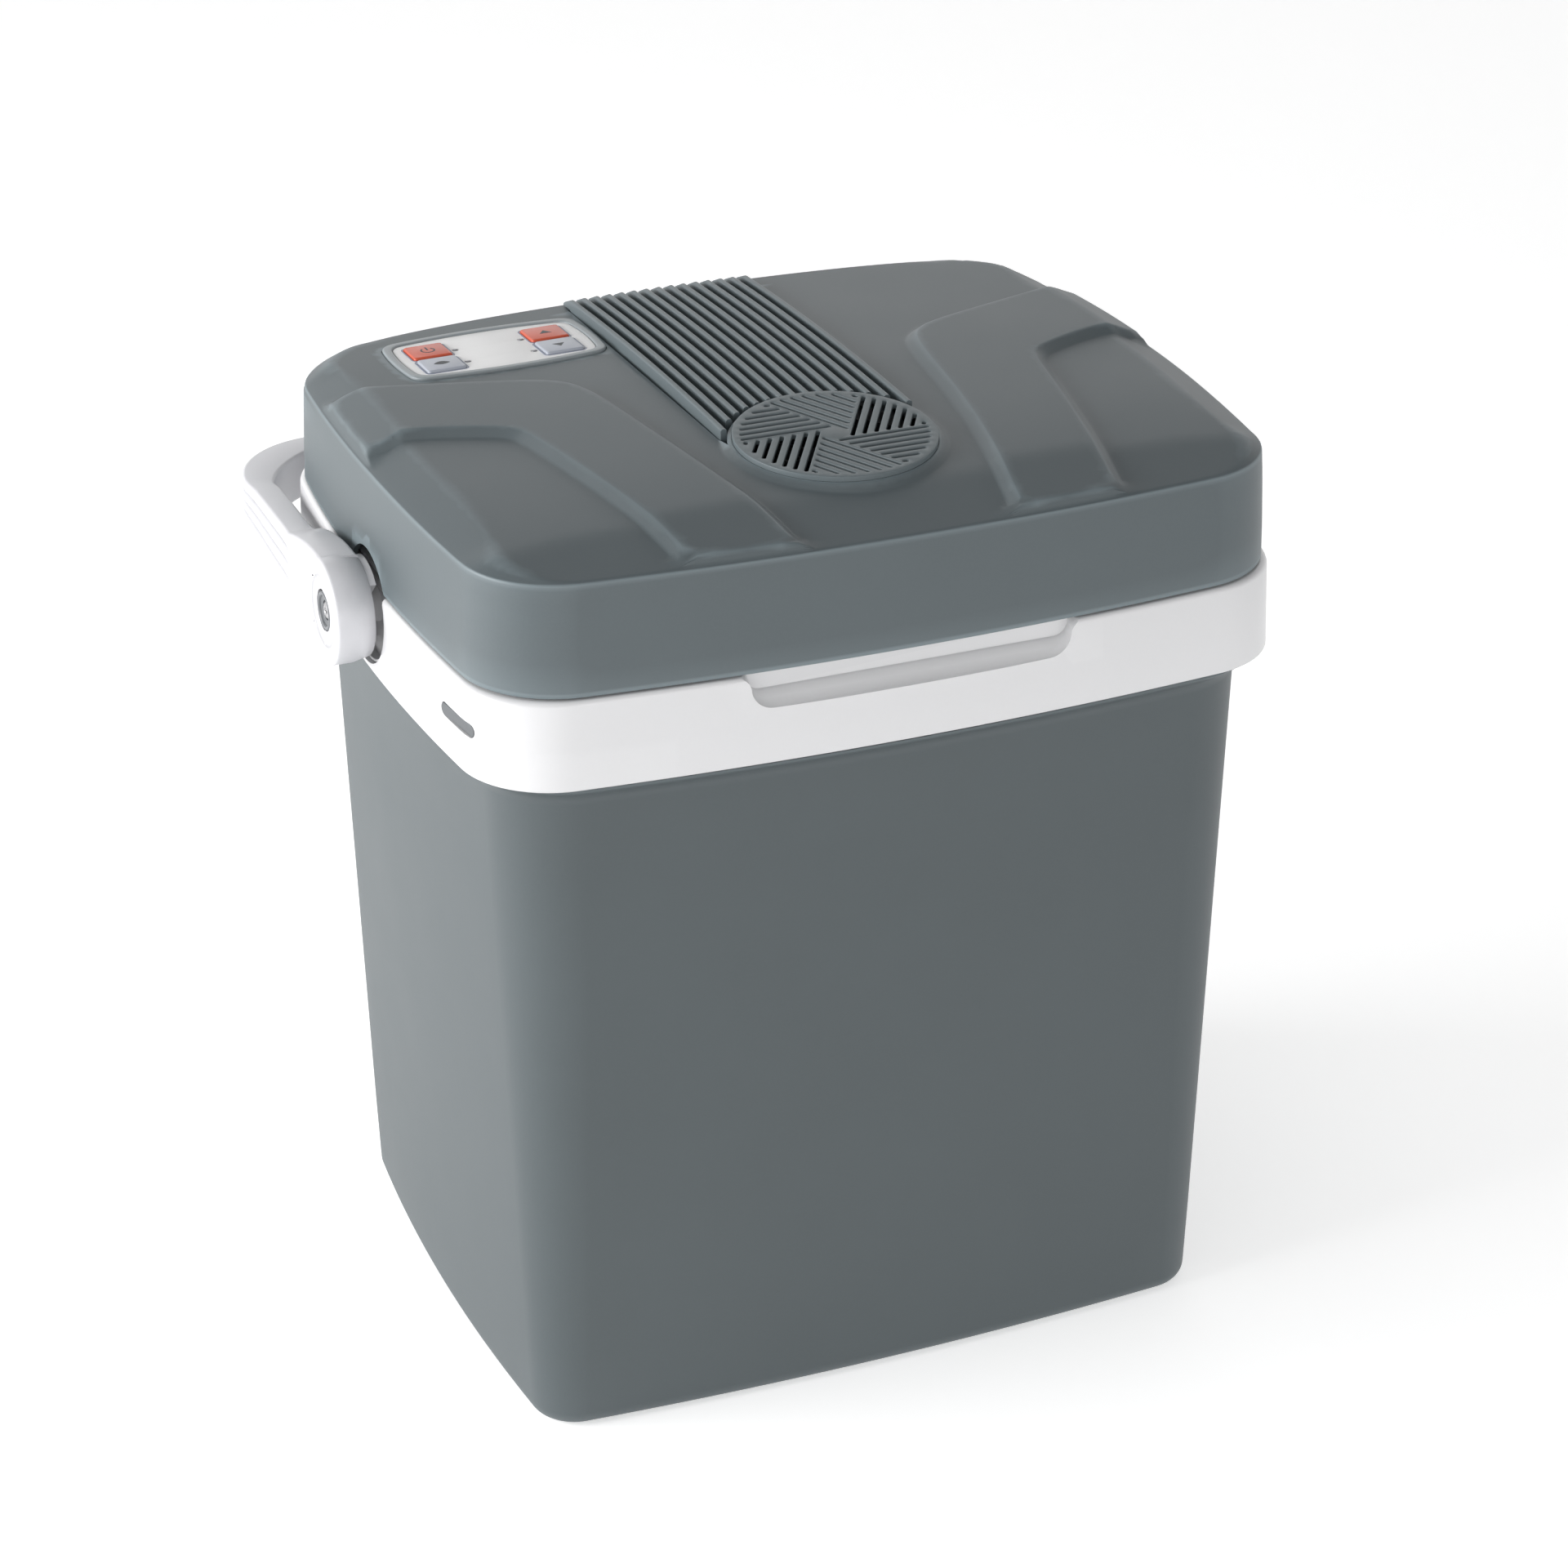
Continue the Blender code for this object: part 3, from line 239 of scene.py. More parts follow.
def metal(name, colour, roughness, stretch):
    """Drawn or turned metal with fine streaks along one direction."""
    made, shader, tree, where = new_material(name, colour, roughness, metallic=1.0)
    turned_way = add(tree, "ShaderNodeMapping", [(where, "Vector")])
    turned_way.inputs["Scale"].default_value = stretch
    streak = noise(tree, turned_way.outputs[0], 900.0, 3.0)
    stain = noise(tree, where, 60.0, 3.0)
    tone = blend_colour(tree, ranged(tree, stain, 0.3, 0.7, 0.0, 1.0),
                        scaled(colour, 0.84), scaled(colour, 1.06))
    tree.links.new(tone, shader.inputs["Base Color"])
    tree.links.new(ranged(tree, streak, 0.3, 0.7, roughness - 0.1, roughness + 0.1), shader.inputs["Roughness"])
    dent(tree, shader, streak, 0.4, 0.00002)
    return made


def cellular(name, colour, cell):
    """Rigid foam or ceramic: small open cells over a cloudy colour."""
    made, shader, tree, where = new_material(name, colour, 0.85)
    cells = add(tree, "ShaderNodeTexVoronoi", [(where, "Vector")], Scale=1.0 / cell)
    cloud = noise(tree, where, 22.0, 4.0)
    tone = blend_colour(tree, ranged(tree, cells.outputs["Distance"], 0.1, 0.8, 0.0, 1.0),
                        scaled(colour, 0.72), colour)
    tone = blend_colour(tree, ranged(tree, cloud, 0.4, 0.8, 0.0, 0.5), tone, scaled(colour, 1.12))
    tree.links.new(tone, shader.inputs["Base Color"])
    dent(tree, shader, cells.outputs["Distance"], 0.7, cell * 0.3)
    return made


def board_finish(name, colour):
    """Solder-masked circuit board with paler tracks."""
    made, shader, tree, where = new_material(name, colour, 0.35, coat=0.3)
    tracks = add(tree, "ShaderNodeTexBrick", [(where, "Vector")], Scale=90.0, Mortar_Size=0.03)
    cloud = noise(tree, where, 160.0, 2.0)
    tone = blend_colour(tree, tracks.outputs["Fac"], colour, scaled(colour, 2.0))
    tone = blend_colour(tree, ranged(tree, cloud, 0.62, 0.68, 0.0, 0.8), tone, (0.62, 0.60, 0.55))
    tree.links.new(tone, shader.inputs["Base Color"])
    dent(tree, shader, tracks.outputs["Fac"], 0.4, 0.00005)
    return made


# The lid shell's plastic carries the strongest painted highlight along its convex edges.
GREY = moulded("blue_grey_shell", (0.083, 0.102, 0.110), 0.46, grain=0.0006, mottle=0.045, edge_highlight=0.75)
# The tub's plastic is the shell's blue-grey painted darker: painted shade on the lower walls, which take more
# light from the bright floor.
GREY_BODY_SHADED = moulded("blue_grey_tub_shaded", (0.065, 0.080, 0.086), 0.48, grain=0.0006, mottle=0.045, edge_highlight=0.30)
GREY_FINE = moulded("blue_grey_grille", (0.088, 0.108, 0.116), 0.44, grain=0.0005, mottle=0.04, edge_highlight=0.25)
WHITE = moulded("white_collar", (0.64, 0.64, 0.65), 0.30, grain=0.0008, depth=0.00001, mottle=0.012,
                edge_highlight=0.05, coat=0.15)
# Handle plastic with full painted shade in its grooves and a faint painted edge highlight.
HANDLE_WHITE = moulded("white_handle", (0.56, 0.56, 0.585), 0.34, grain=0.0008, depth=0.00001, mottle=0.015,
                       edge_highlight=0.05, coat=0.1, groove_shade=1.0)
LINER = moulded("liner_plastic", (0.60, 0.62, 0.64), 0.28, grain=0.0009, depth=0.00001, mottle=0.02,
                edge_highlight=0.08, coat=0.2)
FRAME_GREY = moulded("panel_frame_plastic", (0.215, 0.240, 0.252), 0.36, grain=0.0007, mottle=0.03, edge_highlight=0.15)
LABEL = moulded("label_film", (0.79, 0.79, 0.79), 0.42, grain=0.0004, depth=0.000008, mottle=0.02, edge_highlight=0.0)
ORANGE = moulded("orange_key", (0.52, 0.075, 0.030), 0.38, grain=0.0005, depth=0.00001, mottle=0.05,
                 edge_highlight=0.06, coat=0.2)
KEY_GREY = moulded("grey_key", (0.35, 0.372, 0.425), 0.36, grain=0.0005, depth=0.00001, mottle=0.03,
                   edge_highlight=0.05, coat=0.15)
INK = moulded("dark_ink", (0.045, 0.05, 0.055), 0.5, grain=0.0003, depth=0.000005, mottle=0.08, edge_highlight=0.0)
KEYLINE = moulded("key_outline", (0.20, 0.235, 0.33), 0.4, grain=0.0003, depth=0.000005, mottle=0.05, edge_highlight=0.0)
LENS = moulded("lamp_lens", (0.20, 0.20, 0.215), 0.16, grain=0.0004, depth=0.000005, mottle=0.05, edge_highlight=0.0,
               coat=0.6)
BLACK = moulded("black_plastic", (0.018, 0.018, 0.020), 0.42, grain=0.0006, mottle=0.12, edge_highlight=0.3)
CAP = moulded("cap_plastic", (0.105, 0.112, 0.120), 0.38, grain=0.0005, mottle=0.04, edge_highlight=0.2)
DARK_INSERT = moulded("slot_insert_plastic", (0.085, 0.092, 0.098), 0.5, grain=0.0005, mottle=0.05, edge_highlight=0.1)
RUBBER = moulded("seal_rubber", (0.050, 0.052, 0.056), 0.68, grain=0.0007, depth=0.00004, mottle=0.1, edge_highlight=0.2)
FOAM = cellular("insulating_foam", (0.80, 0.72, 0.52), 0.0016)
CERAMIC = cellular("ceramic_plate", (0.84, 0.84, 0.80), 0.0005)
ALUMINIUM = metal("fin_aluminium", (0.74, 0.75, 0.76), 0.34, (1.0, 0.06, 1.0))
STEEL = metal("zinc_steel", (0.50, 0.50, 0.51), 0.32, (0.08, 1.0, 1.0))
BOARD = board_finish("circuit_board", (0.022, 0.12, 0.055))


# ---- shape tools ----

def finish(name, shape, surface, sharp=34.0):
    """Make an object from points and faces given in the frame's coordinates."""
    verts, faces = shape
    mesh = bpy.data.meshes.new(name)
    mesh.from_pydata([Vector(v) for v in verts], [], faces)
    work = bmesh.new()
    work.from_mesh(mesh)
    bmesh.ops.remove_doubles(work, verts=work.verts, dist=2e-6)
    bmesh.ops.dissolve_degenerate(work, dist=1e-6, edges=work.edges)
    bmesh.ops.recalc_face_normals(work, faces=work.faces)
    for face in work.faces:
        face.smooth = True
    work.to_mesh(mesh)
    work.free()
    mesh.set_sharp_from_angle(angle=math.radians(sharp))
    if surface:
        mesh.materials.append(surface)
    made = bpy.data.objects.new(name, mesh)
    bpy.context.collection.objects.link(made)
    return made


def settle(piece, body, slot, *nodes):
    """Tie a finished piece to its body and hide the CAD nodes it stands for. The slot argument is not used."""
    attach(piece, body)
    if nodes:
        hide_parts(*nodes)


def fitted(name, shape, surface, body, slot, *nodes):
    """Make a piece and settle it in one step."""
    settle(finish(name, shape, surface), body, slot, *nodes)


def carve(target, shapes, operation):
    """Join or subtract solids, one boolean for the lot, and keep the result in the mesh."""
    tool = finish("tool", merged(shapes), None)
    step = target.modifiers.new("carve", "BOOLEAN")
    step.operation, step.solver, step.object = operation, "EXACT", tool
    bpy.context.view_layer.update()
    done = bpy.data.meshes.new_from_object(target.evaluated_get(bpy.context.evaluated_depsgraph_get()))
    target.modifiers.clear()
    old, target.data = target.data, done
    done.name = old.name
    bpy.data.objects.remove(tool)


def soften(piece, width, angle=32.0, segments=2):
    """Round the hard edges of a carved piece and even out its shading."""
    bevel = piece.modifiers.new("soften", "BEVEL")
    bevel.width, bevel.segments, bevel.limit_method = width, segments, "ANGLE"
    bevel.angle_limit, bevel.use_clamp_overlap = math.radians(angle), True
    bevel.harden_normals = False
    piece.data.set_sharp_from_angle(angle=math.radians(60.0))


def merged(shapes):
    """Several solids as one list of points and faces."""
    verts, faces = [], []
    for some_verts, some_faces in shapes:
        start = len(verts)
        verts.extend(some_verts)
        faces.extend([tuple(k + start for k in face) for face in some_faces])
    return verts, faces


def shallow_arc(start, end, rise, outward, steps):
    """Points of a shallow arc between two corners, each with its outward direction."""
    start, end, outward = Vector(start), Vector(end), Vector(outward)
    chord = (end - start).length
    if rise < 1e-6 or chord < 1e-6:
        return [(start.lerp(end, k / steps), outward) for k in range(steps + 1)]
    radius = (chord * chord / 4 + rise * rise) / (2 * rise)
    centre = (start + end) / 2 - outward * (radius - rise)
    along = (end - start) / chord
    half = math.asin(chord / 2 / radius)
    out = []
    for k in range(steps + 1):
        turn = half * (2 * k / steps - 1)
        normal = along * math.sin(turn) + outward * math.cos(turn)
        out.append((centre + normal * radius, normal))
    return out


def outline(half_x, half_y, bow_x=0.0, bow_y=0.0, corner=0.01, centre=(0.0, 0.0), sides=SIDES, turns=TURNS):
    """A rectangle with bowed sides and round corners, anticlockwise."""
    ax, ay = half_x - corner - bow_y, half_y - corner - bow_x
    sides_list = [((-ax, -ay), (ax, -ay), (0, -1), bow_x), ((ax, -ay), (ax, ay), (1, 0), bow_y),
                  ((ax, ay), (-ax, ay), (0, 1), bow_x), ((-ax, ay), (-ax, -ay), (-1, 0), bow_y)]
    arcs = [shallow_arc(p, q, rise, out, sides) for p, q, out, rise in sides_list]
    points = []
    for k, arc in enumerate(arcs):
        points.extend(p + n * corner for p, n in arc)
        here, there = arc[-1][1], arcs[(k + 1) % 4][0][1]
        first = math.atan2(here.y, here.x)
        sweep = (math.atan2(there.y, there.x) - first) % (2 * math.pi)
        for step in range(1, turns):
            angle = first + sweep * step / turns
            points.append(arc[-1][0] + Vector((math.cos(angle), math.sin(angle))) * corner)
    return [(p.x + centre[0], p.y + centre[1]) for p in points]


def circle(radius, count, centre=(0.0, 0.0), first=0.0):
    """Points round a circle."""
    return [(centre[0] + radius * math.cos(first + 2 * math.pi * k / count),
             centre[1] + radius * math.sin(first + 2 * math.pi * k / count)) for k in range(count)]


def polar(radius, degrees, centre=(0.0, 0.0)):
    """A point on a circle."""
    angle = math.radians(degrees)
    return centre[0] + radius * math.cos(angle), centre[1] + radius * math.sin(angle)


def tray(half_x, corner):
    """Hardly bowed outline of the parts inside the walls."""
    return outline(half_x, half_x - 0.0340, 0.004, 0.003, corner)


def shell(half_x, corner):
    """Bowed outline of the parts that follow the outer walls."""
    return outline(half_x, half_x - 0.0351, BOW_X, BOW_Y, corner)


def loft(rings, closed=False):
    """Skin a stack of (outline, height) rings. A closed stack is a hollow ring, an open one is capped.
    The height counts only where an outline's points have none of their own."""
    count = len(rings[0][0])
    verts = [(p[0], p[1], p[2] if len(p) > 2 else z) for ring, z in rings for p in ring]
    faces = []
    for k in range(len(rings) if closed else len(rings) - 1):
        low, high = k * count, ((k + 1) % len(rings)) * count
        for j in range(count):
            nxt = (j + 1) % count
            faces.append((low + j, low + nxt, high + nxt, high + j))
    if not closed:
        faces.append(tuple(range(count))[::-1])
        faces.append(tuple(range(len(verts) - count, len(verts))))
    return verts, faces


def prism(points, low, high, axis="z"):
    """A flat outline pulled straight along one axis."""
    verts, faces = loft([(points, low), (points, high)])
    order = {"x": (2, 0, 1), "y": (0, 2, 1), "z": (0, 1, 2)}[axis]
    return [tuple(v[k] for k in order) for v in verts], faces


def skin(rings, closed=False):
    """Join a row of equal cross-sections given as points in space."""
    return loft([(ring, 0.0) for ring in rings], closed)


def turned(profile, count, side, closed=True):
    """A profile of (radius, x) turned about the pivot line. An open one starts and ends near the axis."""
    rings = []
    for radius, along in profile:
        rings.append([(side * along, y, z) for y, z in circle(radius, count, (0.0, PIVOT_Z))])
    verts, faces = skin(rings, closed)
    if not closed:
        faces[-2] = faces[-2][::-1]  # the first cap winds the other way; the joins are cut from it as it is
    return verts, faces


def pivot_wells(inner):
    """Cutters for the round openings on the pivot line, from an inner x outwards."""
    return [turned([(WELL_RADIUS, inner), (WELL_RADIUS, 0.2100)], 72, side, False) for side in (-1, 1)]


def inside(point, polygon):
    """True where a point lies within an outline."""
    x, y = point[0], point[1]
    odd = False
    for k, (x0, y0) in enumerate(polygon):
        x1, y1 = polygon[k - 1]
        if (y0 > y) != (y1 > y) and x < (x1 - x0) * (y - y0) / (y1 - y0) + x0:
            odd = not odd
    return odd


def triangulate(outer, holes=(), lines=(), points=()):
    """Triangles that fill an outline, follow the given lines and leave the holes open."""
    coords, edges = [], []
    for path, closed in [(outer, True)] + [(h, True) for h in holes] + [(p, False) for p in lines]:
        start = len(coords)
        coords.extend(Vector(p) for p in path)
        for k in range(len(path) if closed else len(path) - 1):
            edges.append((start + k, start + (k + 1) % len(path)))
    coords.extend(Vector(p) for p in points)
    flat, _, tris = delaunay_2d_cdt(coords, edges, [], 0, 1e-6)[:3]
    kept = []
    for tri in tris:
        centre = sum((flat[k] for k in tri), Vector((0.0, 0.0))) / len(tri)
        if inside(centre, outer) and not any(inside(centre, hole) for hole in holes):
            kept.append(tuple(tri))
    uses = {(a, b) for tri in kept for a, b in zip(tri, tri[1:] + tri[:1])}
    rim = [(a, b) for a, b in uses if (b, a) not in uses]
    used = sorted({k for tri in kept for k in tri})
    index = {old: new for new, old in enumerate(used)}
    return ([(flat[k].x, flat[k].y) for k in used], [tuple(index[k] for k in tri) for tri in kept],
            [(index[a], index[b]) for a, b in rim])


def plate(outer, holes, low, high, rounding):
    """A plate whose upper edges are rounded. outer and each hole are functions of growth that return outlines;
    low and high are functions of x and y."""
    steps = [math.radians(a) for a in (0, 30, 60, 90)]
    flat, tris, _ = triangulate(outer(-rounding), [hole(rounding) for hole in holes])
    verts = [(x, y, high(x, y)) for x, y in flat]
    faces = list(tris)
    under, under_tris, _ = triangulate(outer(0.0), [hole(0.0) for hole in holes])
    start = len(verts)
    verts += [(x, y, low(x, y)) for x, y in under]
    faces += [tuple(k + start for k in tri[::-1]) for tri in under_tris]
    for path, sign in [(outer, -1)] + [(hole, 1) for hole in holes]:
        rings = []
        for a in steps:
            ring = path(sign * rounding * (1 - math.sin(a)))
            rings.append([(x, y, high(x, y) - rounding * (1 - math.cos(a))) for x, y in ring])
        rings.append([(x, y, low(x, y)) for x, y in path(0.0)])
        count = len(rings[0])
        for k in range(len(rings) - 1):
            base = len(verts)
            verts += rings[k] + rings[k + 1]
            for j in range(count):
                nxt = (j + 1) % count
                faces.append((base + j, base + nxt, base + count + nxt, base + count + j))
    return verts, faces


# ---- heights of the lid's top ----

def smooth_min(values, reach):
    """The least of several values, with the creases between them rounded."""
    least = values[0]
    for value in values[1:]:
        share = max(0.0, min(1.0, 0.5 + 0.5 * (value - least) / reach))
        least = value + (least - value) * share - reach * share * (1 - share)
    return least


def edge_height(x, y):
    """Height of the edge between the lid's side wall and its top."""
    back = max(0.0, y - CROWN_Y)
    rise = 0.0090 * max(0.0, min(1.0, (y - 0.060) / 0.090)) ** 2 * (1 - min(1.0, abs(x) / 0.190) ** 4)
    return EDGE_FRONT - 0.20 * back * back + rise


def crown(x, y):
    """Height of the gently arched main surface."""
    rate = 0.50 if y < CROWN_Y else 0.215
    return CROWN_TOP - rate * (y - CROWN_Y) ** 2 - 0.002 * (x / 0.18) ** 2


def half_sizes(x, y):
    """Half width and half depth of the lid's bowed top outline, level with one point."""
    straight_x = LID_HALF_X - RIM_INSET - CORNER - BOW_Y
    straight_y = LID_HALF_Y - RIM_INSET - CORNER - BOW_X
    half_x = LID_HALF_X - RIM_INSET - BOW_Y * min(1.0, abs(y) / straight_y) ** 2
    half_y = LID_HALF_Y - RIM_INSET - BOW_X * min(1.0, abs(x) / straight_x) ** 2
    return half_x, half_y


def edge_distance(x, y):
    """Distance inwards from the lid's rounded outline."""
    half_x, half_y = half_sizes(x, y)
    qx, qy = abs(x) - half_x + CORNER, abs(y) - half_y + CORNER
    return CORNER - math.hypot(max(qx, 0.0), max(qy, 0.0)) - min(max(qx, qy), 0.0)


def rounded_path(path, rounds=2):
    """A polyline with its corners cut and cut again into a curve."""
    for _ in range(rounds):
        out = [path[0]]
        for p, q in zip(path, path[1:]):
            out.append((p[0] * 0.75 + q[0] * 0.25, p[1] * 0.75 + q[1] * 0.25))
            out.append((p[0] * 0.25 + q[0] * 0.75, p[1] * 0.25 + q[1] * 0.75))
        path = out + [path[-1]]
    return path


def shifted(path, distance):
    """A path moved sideways by a distance."""
    out = []
    for k, (x, y) in enumerate(path):
        before, after = path[max(k - 1, 0)], path[min(k + 1, len(path) - 1)]
        dx, dy = after[0] - before[0], after[1] - before[1]
        size = math.hypot(dx, dy)
        out.append((x - dy / size * distance, y + dx / size * distance))
    return out


def mirrored(path):
    """The same path on the other side of the lid."""
    return [(-x, y) for x, y in path]


BAND_EDGES = [rounded_path(BAND_INNER), rounded_path(BAND_OUTER)]
BAND_SHAPE = BAND_EDGES[0] + BAND_EDGES[1]


def path_distance(x, y, path):
    """Distance from a point to a polyline."""
    best = 1.0
    for (px, py), (qx, qy) in zip(path, path[1:]):
        dx, dy = qx - px, qy - py
        t = max(0.0, min(1.0, ((x - px) * dx + (y - py) * dy) / (dx * dx + dy * dy)))
        best = min(best, (x - px - t * dx) ** 2 + (y - py - t * dy) ** 2)
    return math.sqrt(best)


def eased(value, soft):
    """A 0 to 1 ramp with its two ends rounded over a share of its length."""
    value = max(-soft, min(1.0 + soft, value))
    if value < soft:
        return (value + soft) ** 2 / (4 * soft)
    if value > 1.0 - soft:
        return 1.0 - (1.0 + soft - value) ** 2 / (4 * soft)
    return value


def band_share(x, y):
    """1 on a raised band, falling to 0 down its sloped sides and at the lid's edge."""
    point = (abs(x), y)
    near = min(path_distance(*point, path) for path in BAND_EDGES)
    near = -near if inside(point, BAND_SHAPE) else near
    rim = eased((edge_distance(x, y) - 0.0004) / 0.0022, 0.2)
    return min(eased(1.0 - near / BAND_SLOPE, CREASE / BAND_SLOPE), rim)


def disc_height(y):
    """Height of the fan grille's upper face, which leans a little to the front."""
    return DISC_TOP + 0.040 * (y - DISC_Y)


def lid_height(x, y):
    """Height of the lid's upper surface with its bevels, bands and grille boss."""
    edge = edge_height(x, y)
    half_x, half_y = half_sizes(x, y)
    slopes = (edge + 7 / 36 * (half_y + y), edge + 7 / 16 * (half_x - abs(x)), edge + 0.50 * (half_y - y),
              edge + 0.60 * edge_distance(x, y), crown(x, y))
    level = smooth_min(slopes, 0.0007)
    level += BAND_HEIGHT * band_share(x, y)
    reach = math.hypot(x, y - DISC_Y)
    if reach < BOSS_FOOT + 0.001:
        boss = disc_height(y) - 0.0024
        share = eased((BOSS_FOOT - reach) / (BOSS_FOOT - BOSS_RADIUS), 0.22)
        level += (boss - level) * share
    return level


def panel_plane(x, y):
    """Plane of the control panel, touching the lid's surface at the panel's middle."""
    slope = -0.43 * (PANEL.y - CROWN_Y)
    return crown(PANEL.x, PANEL.y) + slope * (y - PANEL.y) + 0.0122 * (x - PANEL.x)


# ---- insulated body ----

def body_ring(height, inset=0.0):
    """Outline of the tapered body at one height."""
    share = min(height, BODY_TOP) / BODY_TOP
    spread = BODY_SPREAD * share - inset
    corner = max(0.006, 0.0227 + 0.0173 * share - inset)
    return outline(BASE_HALF_X + spread, BASE_HALF_Y + spread, 0.0056 + 0.0014 * share, 0.0055, corner)


def build_body():
    """Outer shell with its rounded foot and flared lip, and the liner."""
    rings = [(body_ring(0.0, 0.0300), 0.0015), (body_ring(0.0, 0.0170), 0.0015), (body_ring(0.0, 0.0155), 0.0)]
    for step in range(9):
        angle = math.radians(11.25 * step)
        rings.append((body_ring(0.0, 0.008 * (1 - math.sin(angle))), 0.008 * (1 - math.cos(angle))))
    rings += [(body_ring(BODY_TOP * k / 8), BODY_TOP * k / 8) for k in range(1, 8)]
    lip = [(BODY_TOP - 0.0012, 0.0), (BODY_TOP, -0.0002), (0.3352, -0.0010), (0.3370, -0.0022),
           (0.3390, -0.0042), (0.3405, -0.0062), (0.3418, -0.0083), (0.3428, -0.0099), (0.3436, -0.0105),
           (0.3446, -0.0105), (0.3446, 0.0028), (0.0110, 0.0028), (0.0030, 0.0110)]
    rings += [(body_ring(height, inset), height) for height, inset in lip]
    fitted("outer_shell", loft(rings), GREY_BODY_SHADED, "body", "body_shell", "body_shell")

    low = LINER_BOX[0].z
    liner = []
    for step in range(7):
        angle = math.radians(15 * step)
        out, up = 0.008 * math.sin(angle), 0.008 * (1 - math.cos(angle))
        liner.append((tray(0.1390 + out, 0.018 + out), low + up))
    flange = [(0.1565, 0.032, 0.3830), (0.1572, 0.032, 0.3841), (0.1690, 0.040, 0.3841),
              (0.1695, 0.040, 0.3846), (0.1695, 0.040, 0.3857), (0.1690, 0.040, 0.3862),
              (0.1566, 0.031, 0.3862), (0.1552, 0.030, 0.3857), (0.1545, 0.030, 0.3842)]
    liner += [(tray(half_x, corner), height) for half_x, corner, height in flange]
    for step in range(7):
        angle = math.radians(90 - 15 * step)
        out, up = 0.0075 * math.sin(angle), 0.0078 * (1 - math.cos(angle))
        liner.append((tray(0.1375 + out, 0.0165 + out), low + 0.0022 + up))
    fitted("food_liner", loft(liner), LINER, "body", "inner_liner", "inner_liner")


def recess_outline(grow, top):
    """Front view of the finger recess, with a round foot and a flared mouth at the collar's top."""
    low = RECESS_LOW - grow
    mouth = [(0.0830, 0.3868), (0.0806, 0.3862), (0.0786, 0.3852), (0.0772, 0.3839), (0.0764, 0.3826)]
    right = [(0.0850 + 2.5 * grow, top)] + [(x + 2.5 * grow, z) for x, z in mouth if z < top - 0.0005]
    for step in range(9):
        angle = math.radians(-11.25 * step)
        right.append((0.0655 + grow * 0.5 + (RECESS_FOOT + grow) * math.cos(angle),
                      low + RECESS_FOOT + RECESS_FOOT * math.sin(angle)))
    return [(-x, z) for x, z in right] + right[::-1]


def finger_scoop():
    """The hollow of the finger recess, its floor rising to the rear."""
    front = recess_outline(0.0, 0.3900)
    half = [(0.0800, 0.3900), (0.0785, 0.3880), (0.0775, 0.3872), (0.0770, 0.3866), (0.0766, 0.3860),
            (0.0764, 0.3855)]
    half += [polar(0.0064, -11.25 * k, (0.0700, 0.3846)) for k in range(9)]
    back = [(-x, z) for x, z in half] + half[::-1]
    rings = []
    for y, share in ((-0.1750, 0.0), (-0.1632, 0.0), (-0.1612, 0.10), (-0.1585, 0.50), (-0.1570, 0.90),
                     (-0.1557, 1.0)):
        rings.append([(a + (c - a) * share, y, b + (d - b) * share) for (a, b), (c, d) in zip(front, back)])
    return skin(rings)


def capsule(half_length, radius, count=9):
    """A slot outline with round ends, its length along the first axis."""
    return [polar(radius, first + 180 * step / (count - 1), (end, 0.0))
            for end, first in ((half_length, -90), (-half_length, 90)) for step in range(count)]


def side_slot(side, radius, deep, shallow):
    """A rounded slot through the collar's side near the front corner."""
    spot = middle("slot_insert_right")
    verts, faces = prism(capsule(0.0125, radius), deep, shallow, "x")
    lean, face = math.radians(8.5), 0.1937
    out = []
    for x, y, z in verts:
        out.append((side * (face + x * math.cos(lean) + y * math.sin(lean)),
                    spot.y + y * math.cos(lean) - x * math.sin(lean), spot.z + z))
    return out, faces


def knuckle(x0, x1, angles, points):
    """One hinge knuckle: a barrel on the hinge line with an arm to its wall."""
    return prism([polar(KNUCKLE_RADIUS, a, (HINGE.y, HINGE.z)) for a in angles] + points, x0, x1, "x")


def hinge_bores():
    """Holes for the two hinge pins."""
    hole = circle(PIN_RADIUS, 20, (HINGE.y, HINGE.z))
    return [prism(hole, side * 0.0590, side * 0.0910, "x") for side in (-1, 1)]


